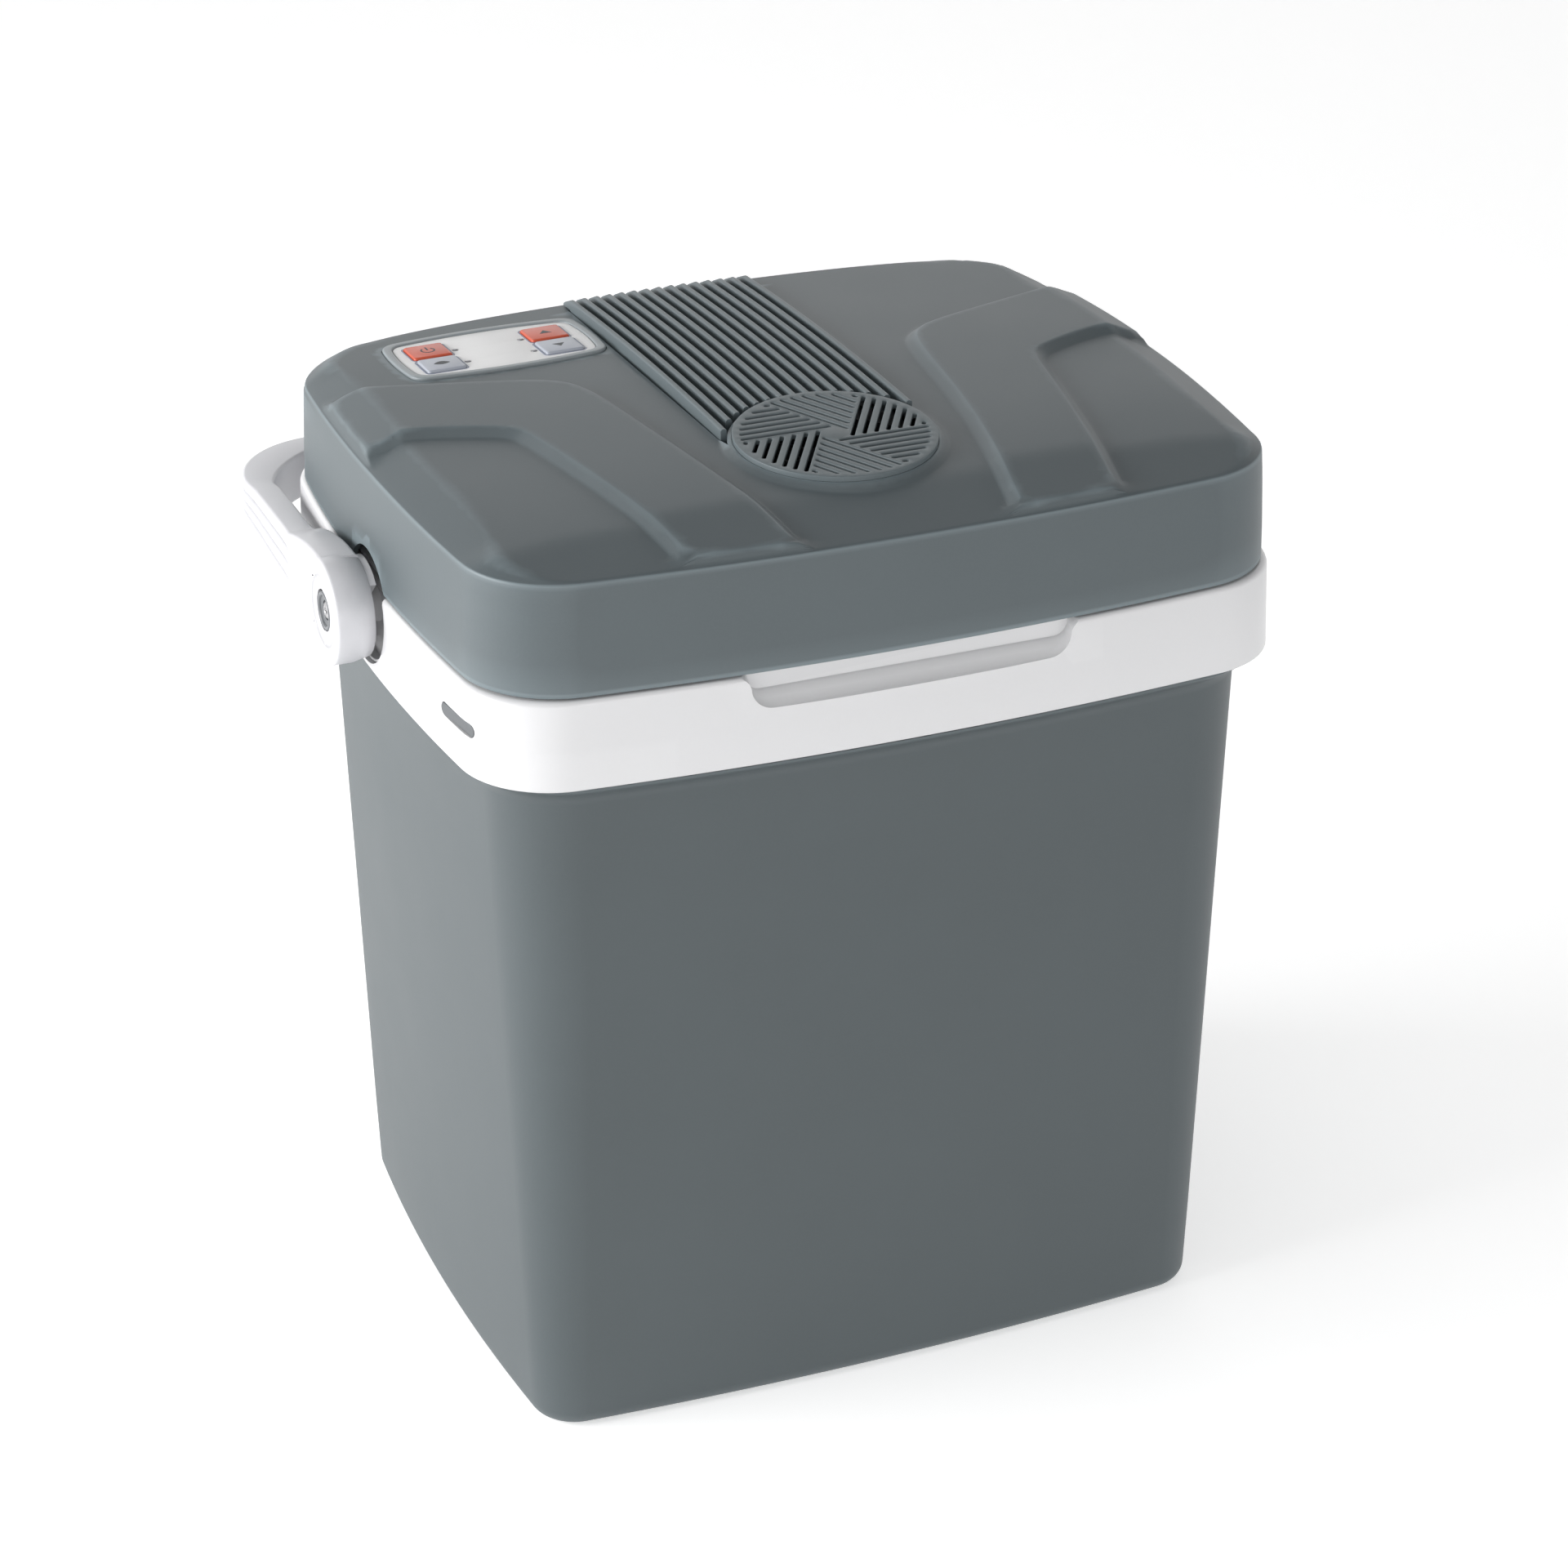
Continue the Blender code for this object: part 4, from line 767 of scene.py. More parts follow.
def build_collar():
    """White collar with its recess, hinge lugs, pivot openings and side slots."""
    low, top = COLLAR_LOW, COLLAR_TOP
    profile = [(0.0006, low), (0.0, low + 0.0006), (0.0005, low + 0.020), (0.0010, 0.3845), (0.0013, 0.3856),
               (0.0019, 0.3863), (0.0026, 0.3867), (0.0034, top)]

    def walls(inset):
        return [(outline(COLLAR_BOX[1].x - move - inset, -COLLAR_BOX[0].y - move - inset, BOW_X, BOW_Y,
                         CORNER), z) for move, z in profile]

    rings = walls(0.0) + [(tray(0.1700, 0.0405), top), (tray(0.1700, 0.0405), 0.3838),
                          (shell(0.1960, CORNER - 0.0025), 0.3838), (shell(0.1970, CORNER - 0.0025), low)]
    collar = finish("collar_ring", loft(rings, closed=True), WHITE)
    block = finish("pocket", prism(recess_outline(0.0024, 0.3852), -0.1700, -0.1532, "y"), None)
    carve(block, [loft(walls(0.0005))], "INTERSECT")
    pocket = ([tuple(v.co) for v in block.data.vertices], [tuple(f.vertices) for f in block.data.polygons])
    bpy.data.objects.remove(block)
    arm = [(0.1642, 0.3850), (0.1585, 0.3800), (0.1585, 0.3760)]
    lugs = [knuckle(side * a, side * b, range(-60, 181, 12), arm) for side in (-1, 1)
            for a, b in ((0.0600, 0.0680), (0.0820, 0.0900))]
    carve(collar, [pocket] + lugs, "UNION")
    slots = [side_slot(side, 0.0033, -0.008, 0.008) for side in (-1, 1)]
    carve(collar, [finger_scoop()] + pivot_wells(0.1935) + slots + hinge_bores(), "DIFFERENCE")
    soften(collar, 0.0012, 40.0, 3)
    settle(collar, "body", "collar", "collar")
    for side, word in HANDS:
        piece = finish("slot_plug_" + word, side_slot(side, 0.0030, -0.0030, -0.0006), DARK_INSERT)
        soften(piece, 0.0004)
        settle(piece, "body", "slot_insert", "slot_insert_" + word)


def build_pivots():
    """Bearing cups, cover rings and screws of the handle."""
    for side, word in HANDS:
        cup = [(0.0053, 0.1900), (0.0287, 0.1900), (0.0287, 0.1928), (0.0268, 0.1928), (0.0268, 0.1972),
               (0.0265, 0.1976), (0.0257, 0.1976), (0.0254, 0.1972), (0.0254, 0.1932), (0.0250, 0.1930),
               (0.0085, 0.1930), (0.0085, 0.1972), (0.0082, 0.1975), (0.0053, 0.1975)]
        made = finish("pivot_cup_" + word, turned(cup, 72, side), WHITE)
        top = prism([(-0.05, 0.3834), (0.05, 0.3834), (0.05, 0.43), (-0.05, 0.43)], -0.25, 0.25, "x")
        carve(made, [top], "DIFFERENCE")
        settle(made, "body", "handle_bearing", "handle_bearing_" + word)
        ring = [(0.0047, 0.2156), (0.0092, 0.2156), (0.0092, 0.2173), (0.0090, 0.2178), (0.0085, 0.2182),
                (0.0076, 0.2182), (0.0072, 0.2179), (0.0069, 0.2173), (0.0051, 0.2171), (0.0047, 0.2168)]
        fitted("pivot_ring_" + word, turned(ring, 48, side), CAP, "handle", "pivot_cap", "pivot_cap_" + word)
        screw = [(0.0019, 0.1950), (0.0019, 0.2142), (0.0042, 0.2142), (0.0042, 0.2160), (0.0040, 0.2166),
                 (0.0034, 0.2171), (0.0022, 0.2173)]
        head = finish("pivot_bolt_" + word, turned(screw, 32, side, False), STEEL)
        for a, b in ((0.0024, 0.0005), (0.0005, 0.0024)):
            bar = [(-a, PIVOT_Z - b), (a, PIVOT_Z - b), (a, PIVOT_Z + b), (-a, PIVOT_Z + b)]
            carve(head, [prism(bar, side * 0.2160, side * 0.2204, "x")], "DIFFERENCE")
        settle(head, "handle", "pivot_screw", "pivot_screw_" + word)


# ---- handle ----

ARM = [  # y, outer x, lower z, upper z, groove share
    (0.000, 0.2188, 0.3498, 0.3994, 0.0), (0.020, 0.2188, 0.3496, 0.3985, 0.0),
    (0.040, 0.2188, 0.3495, 0.3948, 0.0), (0.054, 0.2182, 0.3495, 0.3905, 0.0),
    (0.062, 0.2163, 0.3498, 0.3868, 0.3), (0.070, 0.2146, 0.3503, 0.3845, 1.0),
    (0.085, 0.2140, 0.3512, 0.3838, 1.0), (0.105, 0.2140, 0.3535, 0.3836, 1.0),
    (0.125, 0.2140, 0.3562, 0.3832, 1.0)]


def eased_rows(rows, steps):
    """Rows of numbers joined by a smooth curve that keeps to each row."""
    out = []
    for k in range(len(rows) - 1):
        a, b = rows[k], rows[k + 1]
        before, after = rows[max(k - 1, 0)], rows[min(k + 2, len(rows) - 1)]
        span = max(b[0] - a[0], 1e-9)
        for step in range(steps):
            t = step / steps
            row = []
            for p0, p1, p2, p3 in zip(before, a, b, after):
                m1 = (p2 - p0) / max(b[0] - before[0], 1e-9) * span
                m2 = (p3 - p1) / max(after[0] - a[0], 1e-9) * span
                if (p1 - p0) * (p2 - p1) <= 0:
                    m1 = 0.0 if p0 != p1 or k else m1
                if (p2 - p1) * (p3 - p2) <= 0:
                    m2 = 0.0
                row.append((2 * t ** 3 - 3 * t ** 2 + 1) * p1 + (t ** 3 - 2 * t ** 2 + t) * m1
                           + (3 * t ** 2 - 2 * t ** 3) * p2 + (t ** 3 - t ** 2) * m2)
            row[0] = a[0] + (b[0] - a[0]) * t
            out.append(tuple(row))
    return out + [tuple(rows[-1])]


def handle_stations():
    """Half of the handle's path: inner point, outer point, lower and upper height, groove share."""
    out = [((0.2008, y), (x, y), low, high, groove) for y, x, low, high, groove in eased_rows(ARM, 4)]
    for turn in range(0, 91, 5):
        reach = 0.036 - 0.0045 * math.sin(2 * math.radians(turn))
        out.append((polar(reach, turn, (0.1648, 0.1345)), polar(0.045, turn, (0.1690, 0.1395)), 0.3585, 0.3815,
                    1.0))
    for step in range(1, 17):
        share = 1 - step / 16
        inner = (0.1648 * share, 0.1775 - 0.007 * share ** 2)
        outer = (0.1690 * share, 0.1925 - 0.008 * share ** 2)
        out.append((inner, outer, 0.3588, 0.3812, 1.0))
    return out


def handle_section(station, side):
    """One cross-section of the handle with rounded corners and a grooved outer side."""
    (ix, iy), (ox, oy), low, high, groove = station
    tall, wide = high - low, math.hypot(ox - ix, oy - iy)
    turn_z, turn_a = 0.0019 / tall, 0.0019 / wide

    def corner(a, s, first):
        angles = [math.radians(first + 22.5 * step) for step in range(5)]
        return [(a + turn_a * math.cos(t), s + turn_z * math.sin(t)) for t in angles]

    ring = corner(turn_a, turn_z, 180) + corner(1 - turn_a, turn_z, 270)
    for centre in (0.27, 0.51, 0.75):
        for k in range(-4, 5):
            dip = 0.5 + 0.5 * math.cos(math.pi * k / 4)
            ring.append((1.0 - 0.15 * groove * dip, centre + 0.0135 * k))
    ring += corner(1 - turn_a, 1 - turn_z, 0) + corner(turn_a, 1 - turn_z, 90)
    return [(side * (ix + (ox - ix) * a), iy + (oy - iy) * a, low + tall * share) for a, share in ring]


def build_handle():
    """Carry handle: two arms, a crossbar and two hubs on the pivot line."""
    half = handle_stations()
    sections = [handle_section(s, 1) for s in half] + [handle_section(s, -1) for s in half[-2::-1]]
    handle = finish("carry_handle", skin(sections), HANDLE_WHITE)
    face = HANDLE_BOX[1].x
    hub = [(HUB_RADIUS - 0.0022, 0.2007), (HUB_RADIUS - 0.0016, 0.2013), (HUB_RADIUS, 0.2090),
           (HUB_RADIUS, face - 0.0016), (HUB_RADIUS - 0.0003, face - 0.0007),
           (HUB_RADIUS - 0.0009, face - 0.0002), (HUB_RADIUS - 0.0018, face), (0.0182, face),
           (0.0176, face - 0.0002), (0.0168, face - 0.0007), (0.0150, face - 0.0009), (0.0100, face - 0.0010)]
    bore = [(0.0053, 0.1900), (0.0053, 0.2152), (0.0096, 0.2152), (0.0096, 0.2300)]
    dish = [(0.0176, face - 0.0010), (0.0176, face + 0.01)]
    cam = [polar(CAM_RADIUS, turn, (0.0, PIVOT_Z)) for turn in range(15, 136, 5)]
    cam += [polar(CAM_SHAFT, turn, (0.0, PIVOT_Z)) for turn in range(135, 14, -5)]
    hubs, bores, sectors, trim = [], [], [], []
    for side in (-1, 1):
        hubs.append(turned(hub, 96, side, False))
        bores.append(turned(bore, 56, side, False))
        sectors.append(prism(cam, side * 0.1978, side * 0.2020, "x"))
        trim.append(turned(dish, 96, side, False))
    carve(handle, trim, "DIFFERENCE")
    carve(handle, hubs, "UNION")
    carve(handle, sectors, "UNION")
    carve(handle, bores, "DIFFERENCE")
    handle.data.set_sharp_from_angle(angle=math.radians(38.0))
    settle(handle, "handle", "handle", "handle")


# ---- lid ----

def vent_hole():
    """Opening under the ribs: straight sides and a front edge that follows the grille's boss."""
    reach = BOSS_RADIUS + 0.0006
    last = math.acos(VENT_HALF / reach)
    front = []
    for step in range(25):
        angle = last + (math.pi - 2 * last) * step / 24
        front.append((reach * math.cos(angle), DISC_Y + reach * math.sin(angle)))
    return front + [(-VENT_HALF, VENT_REAR), (VENT_HALF, VENT_REAR)]


def lid_ring(inset):
    """Outline of the lid's top, moved inwards."""
    return outline(LID_HALF_X - RIM_INSET - inset, LID_HALF_Y - RIM_INSET - inset, BOW_X, BOW_Y,
                   max(CORNER - inset, 0.008), sides=40, turns=20)


def lid_lines():
    """Creases that the lid's triangles follow."""
    lines = []
    for path in BAND_EDGES:
        for move in (-CREASE, 0.0, CREASE, BAND_SLOPE - CREASE, BAND_SLOPE, BAND_SLOPE + CREASE):
            kept = [p for p in shifted(path, move) if edge_distance(*p) > 0.0054]
            lines += [kept, mirrored(kept)]
    for inset in (0.0006, 0.0011, 0.0016, 0.0021, 0.0026, 0.0032, 0.0050, 0.0145, 0.016, 0.0175):
        ring = lid_ring(inset)
        lines.append(ring + ring[:1])
    for radius in (BOSS_FOOT + 0.0008, BOSS_FOOT, BOSS_FOOT - 0.0008, BOSS_RADIUS + 0.0008, BOSS_RADIUS,
                   BOSS_RADIUS - 0.0008):
        ring = circle(radius, 96, (0.0, DISC_Y))
        lines.append(ring + ring[:1])
    return lines


def grid_points(pitch, lines):
    """A fine grid over the lid, thinned out beside the crease lines."""
    busy = set()
    for line in lines:
        for (px, py), (qx, qy) in zip(line, line[1:]):
            parts = max(1, int(math.hypot(qx - px, qy - py) / (0.4 * pitch)))
            for k in range(parts + 1):
                x, y = px + (qx - px) * k / parts, py + (qy - py) * k / parts
                busy.add((round(x / pitch), round(y / pitch)))
    wide, deep = int(LID_HALF_X / pitch), int(LID_HALF_Y / pitch)
    return [(i * pitch, j * pitch) for i in range(-wide, wide + 1) for j in range(-deep, deep + 1)
            if (i, j) not in busy and edge_distance(i * pitch, j * pitch) > 0.007]


def inlet_boxes():
    """The two power inlets: node name, centre, half sizes and rear face."""
    out = []
    for node in ("inlet_dc", "inlet_ac"):
        low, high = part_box(node)
        out.append((node, (low + high) / 2, (high - low) / 2, high.y))
    return out


def build_lid_cover():
    """Lid cover: one skin with a top surface, a wall all round and openings for what it carries."""
    grille_hole = circle(DISC_RADIUS + 0.0002, 96, (0.0, DISC_Y))
    panel_hole = outline(0.0500, 0.0324, 0.0032, 0.0012, 0.0094, (PANEL.x, PANEL.y), 12, 8)
    lines = lid_lines()
    rim = lid_ring(0.0)
    flat, tris, edges = triangulate(rim, [grille_hole, vent_hole(), panel_hole], lines,
                                    grid_points(0.0026, lines + [rim]))
    after = {a: b for a, b in edges}
    before = {b: a for a, b in edges}
    outer = [k for k in range(len(flat)) if k in after and edge_distance(*flat[k]) < 0.0008]
    ways = {}
    for k in outer:
        (x0, y0), (x1, y1) = flat[before[k]], flat[after[k]]
        size = math.hypot(x1 - x0, y1 - y0)
        ways[k] = ((y1 - y0) / size, -(x1 - x0) / size)
    count = len(flat)
    heights = [lid_height(x, y) for x, y in flat]
    verts = [(x, y, z) for (x, y), z in zip(flat, heights)]
    for k, (x, y) in enumerate(flat):
        dx, dy = ways.get(k, (0.0, 0.0))
        verts.append((x - LID_SKIN * dx, y - LID_SKIN * dy, heights[k] - WALL))
    faces = list(tris) + [tuple(k + count for k in tri[::-1]) for tri in tris]
    # The wall's rows: distance out from the rim, then a height of its own or a drop below the rim.
    rows = [(0.0004, None, 0.0002), (0.0007, None, 0.0006), (0.0009, None, 0.0014), (0.0010, None, 0.0030)]
    rows += [(move, level, 0.0) for move, level in (
        (0.0014, 0.4310), (0.0018, 0.4235), (0.0021, 0.4160), (0.0024, 0.4090), (0.0026, 0.4040),
        (0.0029, LID_LOW + 0.0025), (0.0030, LID_LOW + 0.0004), (0.0027, LID_LOW), (0.0005, LID_LOW))]
    tables = []
    for move, level, drop in rows:
        table = {}
        for k in outer:
            x, y = flat[k]
            table[k] = len(verts)
            verts.append((x + move * ways[k][0], y + move * ways[k][1], level if level else heights[k] - drop))
        tables.append(table)
    for a, b in edges:
        if a in ways and b in ways:
            chain = [(a, b)] + [(t[a], t[b]) for t in tables] + [(a + count, b + count)]
            faces.extend((p[1], p[0], q[0], q[1]) for p, q in zip(chain, chain[1:]))
        else:
            faces.append((b, a, a + count, b + count))
    lid = finish("lid_top_shell", (verts, faces), GREY)
    arm = [(0.1640, 0.4010), (0.1592, 0.4030), (0.1592, 0.3935)]
    carve(lid, [knuckle(side * 0.0686, side * 0.0814, range(-170, 71, 12), arm) for side in (-1, 1)], "UNION")
    openings = pivot_wells(0.1900) + hinge_bores()
    for _, centre, half, _ in inlet_boxes():
        shape = outline(half.x + 0.0003, half.z + 0.0003, 0, 0, 0.0012, (centre.x, centre.z), 1, 5)
        openings.append(prism(shape, 0.145, 0.172, "y"))
    carve(lid, openings, "DIFFERENCE")
    lid.data.set_sharp_from_angle(angle=math.radians(42.0))
    settle(lid, "lid", "lid_cover", "lid_cover")


def build_inlets():
    """Low-voltage and mains inlets in the lid's rear wall, each a rounded socket with two contacts."""
    for node, centre, half, face in inlet_boxes():
        body = outline(half.x, half.z, 0, 0, 0.0012, (centre.x, centre.z), 1, 5)
        made = finish(node + "_housing", prism(body, centre.y - half.y, face, "y"), BLACK)
        mouth = outline(half.x - 0.0015, half.z - 0.0015, 0, 0, 0.0028, (centre.x, centre.z), 1, 6)
        carve(made, [prism(mouth, 0.1450, 0.1700, "y")], "DIFFERENCE")
        soften(made, 0.0004)
        settle(made, "lid", "power_inlets", node)
        pins = []
        for s in (-1, 1):
            spot = (centre.x + s * half.x * 0.4, centre.z)
            pins += [prism(circle(0.0011, 16, spot), 0.1440, face - 0.0042, "y"),
                     prism(circle(0.0007, 16, spot), face - 0.0042, face - 0.0034, "y")]
        fitted(node + "_contacts", merged(pins), STEEL, "lid", "power_inlets")


def build_lid_inside():
    """Inner panel, seal and grille below the lid."""
    count = 4 * (SIDES + TURNS)
    first = math.radians(-150)
    hole = circle(0.0420, count, (0.0, STACK_Y), first)
    low = PLUG_BOX[0].z
    panel = [(hole, low + 0.0003), (circle(0.0424, count, (0.0, STACK_Y), first), low)]
    panel += [(tray(0.1395 + a, 0.0225 + a), low + b) for a, b in
              ((0.0, 0.0), (0.0020, 0.0004), (0.0038, 0.0014), (0.0050, 0.0029), (0.0056, 0.0046))]
    panel += [(tray(0.1484, 0.0286), 0.3878), (tray(0.1492, 0.0290), 0.3890), (tray(0.1506, 0.0300), 0.3895),
              (shell(0.1926, 0.0385), 0.3895), (shell(0.1930, 0.0385), 0.3900), (shell(0.1930, 0.0385), 0.3920),
              (tray(0.1465, 0.0265), 0.3920), (tray(0.1428, 0.0240), 0.3618), (tray(0.1388, 0.0218), 0.3594),
              (hole, 0.3594)]
    fitted("lid_plug", loft(panel, closed=True), LINER, "lid", "lid_inner", "lid_inner")
    base, top = GASKET_BOX[0].z, GASKET_BOX[1].z
    seal = [(tray(a, a - 0.1290), z) for a, z in (
        (0.1580, top), (0.1580, base + 0.0010), (0.1584, base + 0.0003), (0.1592, base),
        (0.1602, base + 0.0002), (0.1608, base + 0.0010), (0.1632, base + 0.0010), (0.1638, base + 0.0002),
        (0.1648, base), (0.1656, base + 0.0003), (0.1660, base + 0.0010), (0.1660, top))]
    fitted("lid_seal", loft(seal, closed=True), RUBBER, "lid", "lid_gasket", "lid_gasket")
    guard = []
    for inner, outer, parts in ((0.0080, 0.0155, 4), (0.0180, 0.0265, 8), (0.0290, 0.0380, 8)):
        for part in range(parts):
            guard.append(arc_slot(inner, outer, 2 * math.pi * part / parts, 2 * math.pi * (part + 1) / parts))
    low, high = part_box("inner_grille")
    disc = plate(lambda g: circle(high.x + g, 96, (0.0, STACK_Y)), guard, lambda x, y: -high.z,
                 lambda x, y: -low.z, 0.0004)
    disc = ([(x, y, -z) for x, y, z in disc[0]], disc[1])
    fitted("cold_air_guard", disc, LINER, "lid", "lid_inner", "inner_grille")


def arc_slot(inner, outer, first, last):
    """A hole shaped like part of a ring, as a function of growth."""
    def shape(grow):
        ring = []
        for radius, sign in ((outer + grow, 1), (inner - grow, -1)):
            trim = (0.0012 - grow) / radius
            steps = [first + trim + (last - first - 2 * trim) * k / 8 for k in range(9)]
            ring += [(radius * math.cos(a), STACK_Y + radius * math.sin(a)) for a in steps[::sign]]
        return ring
    return shape


def grille_slot(turn, left, right, rise, half):
    """A grille slot with round ends, as a function of growth."""
    def shape(grow):
        radius = half + grow
        ring = []
        for end, first in ((right - half, -90), (left + half, 90)):
            for step in range(7):
                x, y = polar(radius, first + 30 * step, (end, rise))
                ring.append((x * math.cos(turn) - y * math.sin(turn),
                             DISC_Y + x * math.sin(turn) + y * math.cos(turn)))
        return ring
    return shape


def build_vents():
    """Fan grille with its pinwheel of slots and the ribbed air outlet."""
    holes = []
    for sector in range(6):
        for row in range(7):
            rise = 0.0077 + 0.0050 * row
            left = -math.sqrt(0.0432 ** 2 - (rise + 0.001) ** 2) + 0.0002
            right = 0.0014 - 0.577 * (rise - 0.0077)
            if right - left > 0.003:
                holes.append(grille_slot(math.radians(60 * sector), left, right, rise, 0.0010))
    disc = plate(lambda g: circle(DISC_RADIUS + g, 128, (0.0, DISC_Y)), holes,
                 lambda x, y: disc_height(y) - 0.0024, lambda x, y: disc_height(y), 0.00045)
    fitted("fan_guard", disc, GREY_FINE, "lid", "fan_grille", "fan_grille")
    ribs = []
    half = RIB_WIDTH / 2
    for k in range(RIB_COUNT):
        x = (k - (RIB_COUNT - 1) / 2) * RIB_PITCH
        near = max(abs(x) - half, 0.0)
        front = DISC_Y + math.sqrt((BOSS_RADIUS + 0.0007) ** 2 - near * near)
        length = RIB_REAR - front
        rings = []
        for step in range(25):
            y = front + length * step / 24
            tail = max(0.0, (y - (RIB_REAR - 0.0040)) / 0.0040)
            drop = 0.0030 * (1 - math.sqrt(max(0.0, 1 - tail * tail)))
            top = crown(x, y) + 0.0052 - drop
            foot = crown(x, y) - 0.0032 if y < VENT_REAR - 0.0009 else crown(x, y) + 0.0006
            angles = [math.radians(22.5 * turn) for turn in range(9)]
            rings.append([(x - half, y, foot), (x + half, y, foot)]
                         + [(x + half * math.cos(a), y, top - half * 0.72 * (1 - math.sin(a))) for a in angles])
        ribs.append(skin(rings))
    for y in (-0.0130, 0.0400, 0.0930, 0.1440):
        level = crown(0.0, y)
        bar = [(y - 0.0015, level - 0.0028), (y + 0.0015, level - 0.0028), (y + 0.0015, level - 0.0008),
               (y - 0.0015, level - 0.0008)]
        ribs.append(prism(bar, -RIB_HALF + 0.0003, RIB_HALF - 0.0003, "x"))
    settle(finish("air_outlet_ribs", merged(ribs), GREY_FINE, 50.0), "lid", "rib_grille", "rib_grille")


# ---- control panel ----

def panel_plate(outer, holes, low, high, rounding):
    """A plate between two heights over the panel's plane."""
    return plate(outer, holes, lambda x, y: panel_plane(x, y) + low, lambda x, y: panel_plane(x, y) + high,
                 rounding)


def panel_outline(half_x, half_y, bow, corner):
    """An outline round the panel's middle, as a function of growth."""
    return lambda g: outline(half_x + g, half_y + g, bow, 0.0012, corner + g, (PANEL.x, PANEL.y), 14, 8)


def square(half, corner, spot):
    """A round-cornered square over one key, as a function of growth."""
    return lambda g: outline(half + g, half + g, 0, 0, corner + g, (spot.x, spot.y), 2, 5)


def disc_at(radius, spot):
    """A small circle, as a function of growth."""
    return lambda g: circle(radius + g, 24, (spot.x, spot.y))


def on_panel(path, low, high):
    """A flat shape printed on the panel between two heights over its plane."""
    flat, tris, rim = triangulate(path)
    count = len(flat)
    verts = [(x, y, panel_plane(x, y) + level) for level in (high, low) for x, y in flat]
    faces = list(tris) + [tuple(k + count for k in tri[::-1]) for tri in tris]
    faces.extend((b, a, a + count, b + count) for a, b in rim)
    return verts, faces


def ring_shape(outer, inner, low, high):
    """A flat closed band on the panel between two outlines of equal count."""
    return skin([[(x, y, panel_plane(x, y) + level) for x, y in path] for path, level in
                 ((outer, low), (outer, high), (inner, high), (inner, low))], closed=True)


def symbol(kind, x, y):
    """Outline shapes of a key's mark: triangle, stand-by ring or leaf."""
    if kind in ("up", "down"):
        s = 1 if kind == "up" else -1
        return [[(x - 0.0030, y - s * 0.0018), (x + 0.0030, y - s * 0.0018), (x, y + s * 0.0026)][::s]]
    if kind == "power":
        arc = [130 + 28 * k for k in range(11)]
        ring = [polar(0.0036, a, (x, y)) for a in arc] + [polar(0.0028, a, (x, y)) for a in arc[::-1]]
        return [ring, [(x - 0.0004, y + 0.0002), (x + 0.0004, y + 0.0002), (x + 0.0004, y + 0.0046),
                       (x - 0.0004, y + 0.0046)]]
    shares = [k / 12 for k in range(13)]
    lower = [(x - 0.0040 + 0.0080 * t, y - 0.0016 * math.sin(math.pi * t) - 0.0004) for t in shares]
    upper = [(x - 0.0040 + 0.0080 * t, y + 0.0028 * math.sin(math.pi * t) ** 0.8 - 0.0004)
             for t in shares[11:0:-1]]
    return [lower + upper]


def build_panel():
    """Control panel: raised frame, label plate, four keys and four lamps."""
    rim = panel_plate(panel_outline(0.0496, 0.0320, 0.0032, 0.0090),
                      [panel_outline(0.0455, 0.0275, 0.0030, 0.0070)], -0.0030, 0.0011, 0.0009)
    fitted("panel_surround", rim, FRAME_GREY, "lid", "panel_frame", "panel_frame")
    keys = {"power": ORANGE, "eco": KEY_GREY, "up": ORANGE, "down": KEY_GREY}
    holes = [square(0.0098, 0.0020, middle("button_" + word)) for word in keys]
    holes += [disc_at(0.0017, middle("led_" + word)) for word in keys]
    label = panel_plate(panel_outline(0.0452, 0.0272, 0.0030, 0.0067), holes, -0.0020, 0.0004, 0.0001)
    fitted("label_plate", label, LABEL, "lid", "panel_label", "panel_label")
    for word, surface in keys.items():
        spot = middle("button_" + word)
        slot = "orange_keys" if surface is ORANGE else "grey_keys"
        key = panel_plate(square(0.0095, 0.0017, spot), [], -0.0070, 0.0016, 0.0010)
        fitted("key_%s_cap" % word, key, surface, "key_" + word, slot, "button_" + word)
        marks = [on_panel(path, 0.0012, 0.00166) for path in symbol(word, spot.x, spot.y)]
        fitted("key_%s_mark" % word, merged(marks), INK, "key_" + word, slot)
        line = ring_shape(square(0.0106, 0.0026, spot)(0.0), square(0.0100, 0.0020, spot)(0.0), 0.0002, 0.00050)
        fitted("key_%s_outline" % word, line, KEYLINE, "lid", "panel_label")
        dome = panel_plate(disc_at(0.0014, middle("led_" + word)), [], -0.0030, 0.0008, 0.0006)
        fitted("lamp_%s_lens" % word, dome, LENS, "lid", "indicator_lamps", "led_" + word)


# ---- finishes of the CAD nodes that stay ----

KEPT = {"body_foam": FOAM, "lid_foam": FOAM, "peltier_module": CERAMIC, "hot_heatsink": ALUMINIUM,
        "cold_heatsink": ALUMINIUM, "cold_block": ALUMINIUM, "hot_fan_frame": BLACK, "cold_fan_frame": BLACK,
        "hot_fan_rotor": BLACK, "cold_fan_rotor": BLACK, "control_board": BOARD, "power_board": BOARD,
        "hinge_pin_left": STEEL, "hinge_pin_right": STEEL, "pivot_pin_left": STEEL, "pivot_pin_right": STEEL}


def dress_kept_nodes():
    """Give each CAD node that stays its procedural finish."""
    for node, surface in KEPT.items():
        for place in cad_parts[node].material_slots:
            place.material = surface


# ---- stage and light ----

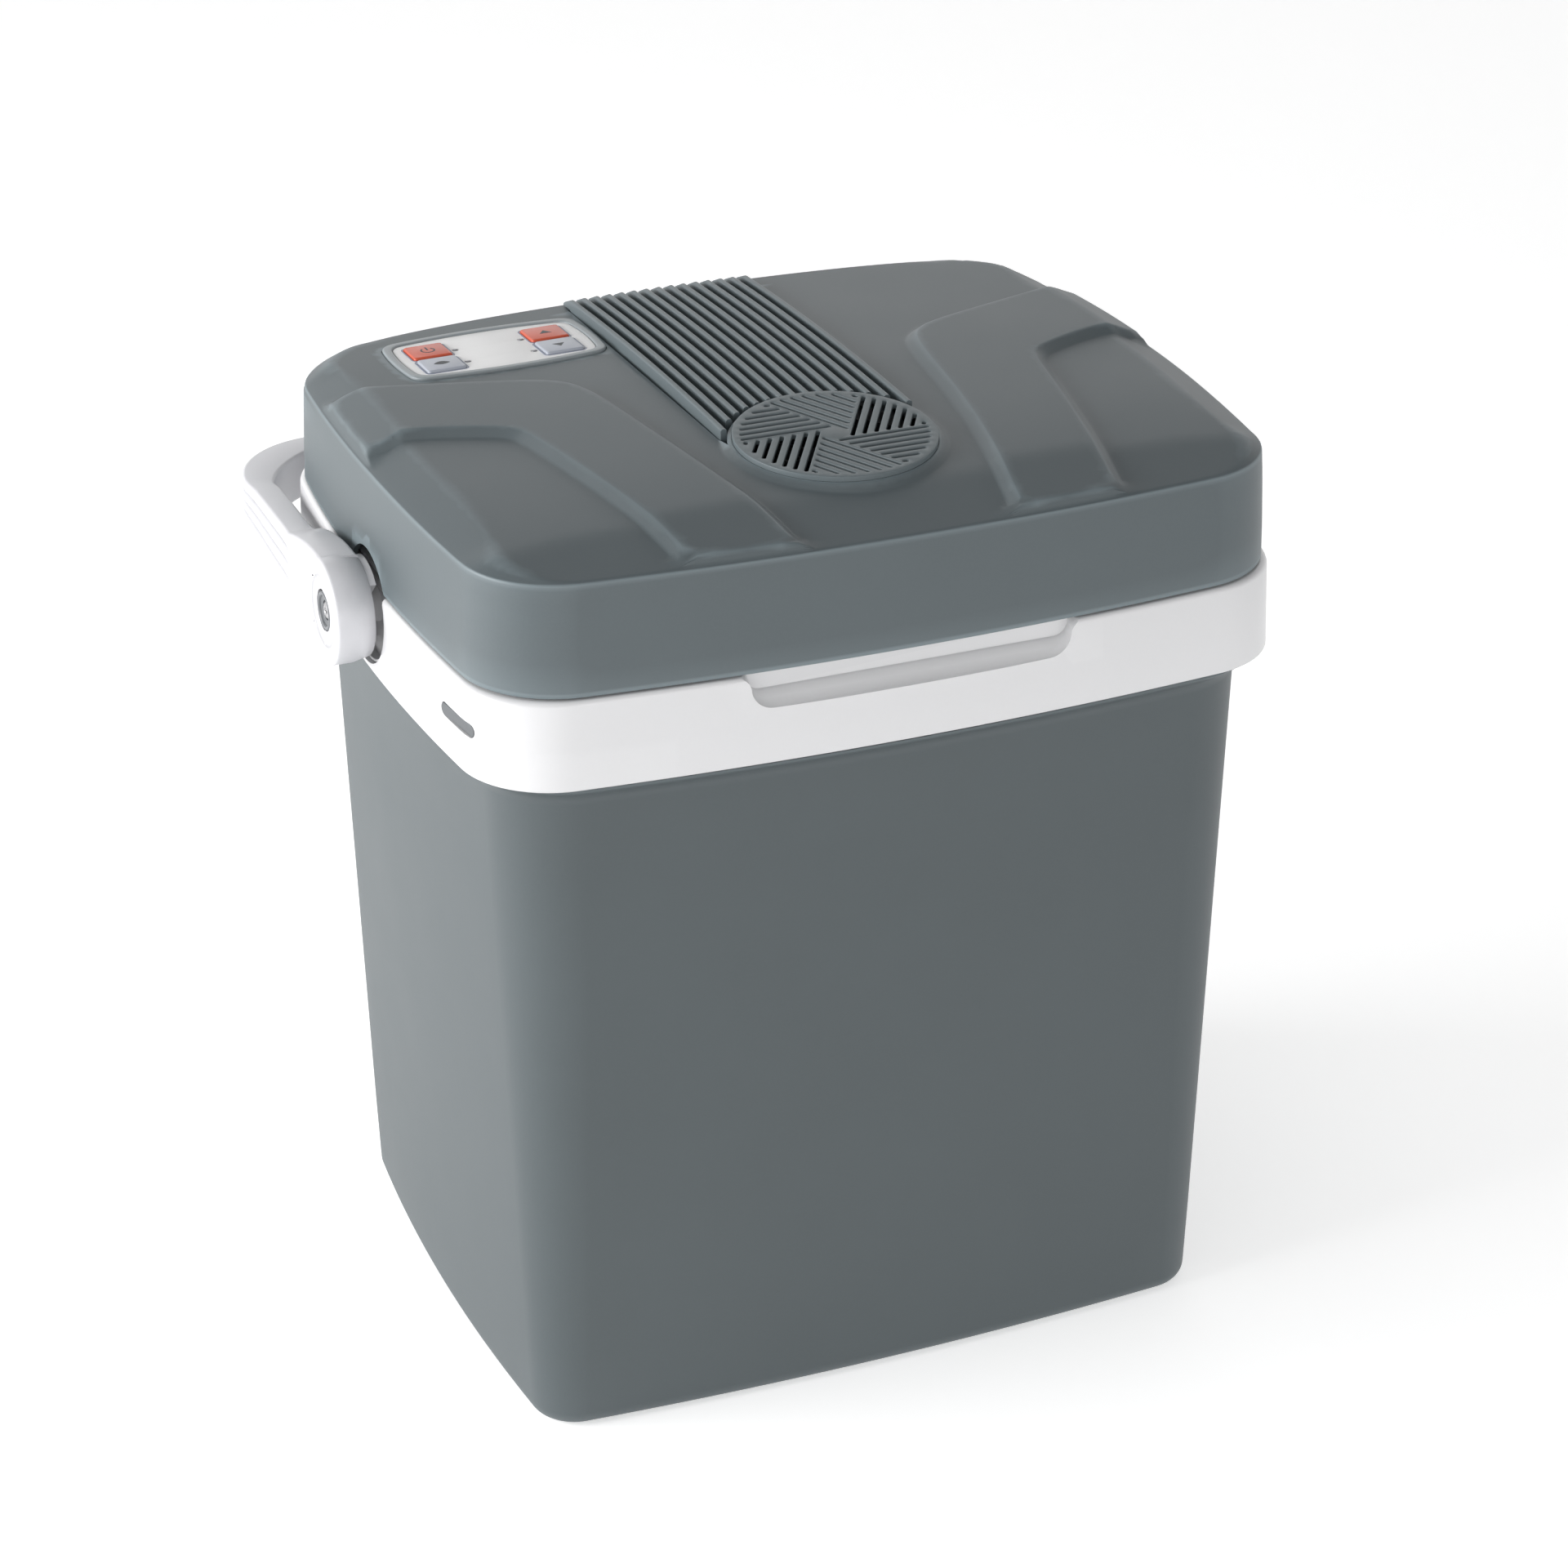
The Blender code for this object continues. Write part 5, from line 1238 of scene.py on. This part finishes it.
def area_light(name, place, target, size, power):
    """A large soft lamp aimed at a point."""
    data = bpy.data.lights.new(name, "AREA")
    data.shape, data.size, data.size_y = "RECTANGLE", size[0], size[1]
    data.energy = power
    lamp = bpy.data.objects.new(name, data)
    lamp.location = place
    lamp.rotation_mode = "QUATERNION"
    lamp.rotation_quaternion = (Vector(target) - Vector(place)).to_track_quat("-Z", "Y")
    bpy.context.collection.objects.link(lamp)


def build_stage():
    """White sweep of floor, white surroundings and soft lamps, brighter from the left."""
    rows = [(-6.0, 0.0), (6.0, 0.0)]
    rows += [polar(3.0, a, (6.0, 3.0)) for a in range(-75, 1, 15)]
    rows.append((9.0, 8.0))
    verts = [(x, y, z) for y, z in rows for x in (-9.0, 9.0)]
    faces = [(2 * k, 2 * k + 1, 2 * k + 3, 2 * k + 2) for k in range(len(rows) - 1)]
    paper, shader, tree, where = new_material("white_paper", (0.90, 0.90, 0.90), 0.85)
    fibre = noise(tree, where, 400.0, 3.0)
    tone = blend_colour(tree, fibre, (0.89, 0.89, 0.89), (0.91, 0.91, 0.91))
    tree.links.new(tone, shader.inputs["Base Color"])
    shader.inputs["Emission Color"].default_value = (1.0, 1.0, 1.0, 1.0)
    shader.inputs["Emission Strength"].default_value = 0.46
    floor = finish("floor", (verts, faces), paper)

    world = bpy.data.worlds.new("studio")
    world.use_nodes = True
    sky = world.node_tree
    ground = sky.nodes["Background"]
    way = add(sky, "ShaderNodeTexCoord").outputs["Generated"]
    height = add(sky, "ShaderNodeSeparateXYZ", [(way, 0)]).outputs["Z"]
    ramp = add(sky, "ShaderNodeValToRGB", [(height, 0)])
    ramp.color_ramp.elements[0].position, ramp.color_ramp.elements[0].color = 0.34, (1.0, 1.0, 1.0, 1)
    ramp.color_ramp.elements[1].position, ramp.color_ramp.elements[1].color = 0.62, (0.11, 0.11, 0.11, 1)
    sky.links.new(ramp.outputs[0], ground.inputs["Color"])
    ground.inputs["Strength"].default_value = 1.12
    bpy.context.scene.world = world
    area_light("left_lamp", (-1.7, 0.2, 0.86), (-0.15, 0.0, 0.36), (1.5, 0.8), 31.0)
    area_light("top_lamp", (-0.3, -0.6, 3.4), (0.0, 0.0, 0.3), (2.6, 2.6), 15.0)
    area_light("front_lamp", (-0.6, -3.4, 0.9), (0.0, 0.0, 0.4), (2.4, 1.0), 16.0)
    settings = bpy.context.scene.view_settings
    settings.view_transform, settings.look = "Standard", "None"


build_body()
build_collar()
build_pivots()
build_handle()
build_lid_cover()
build_inlets()
build_lid_inside()
build_vents()
build_panel()
dress_kept_nodes()
build_stage()
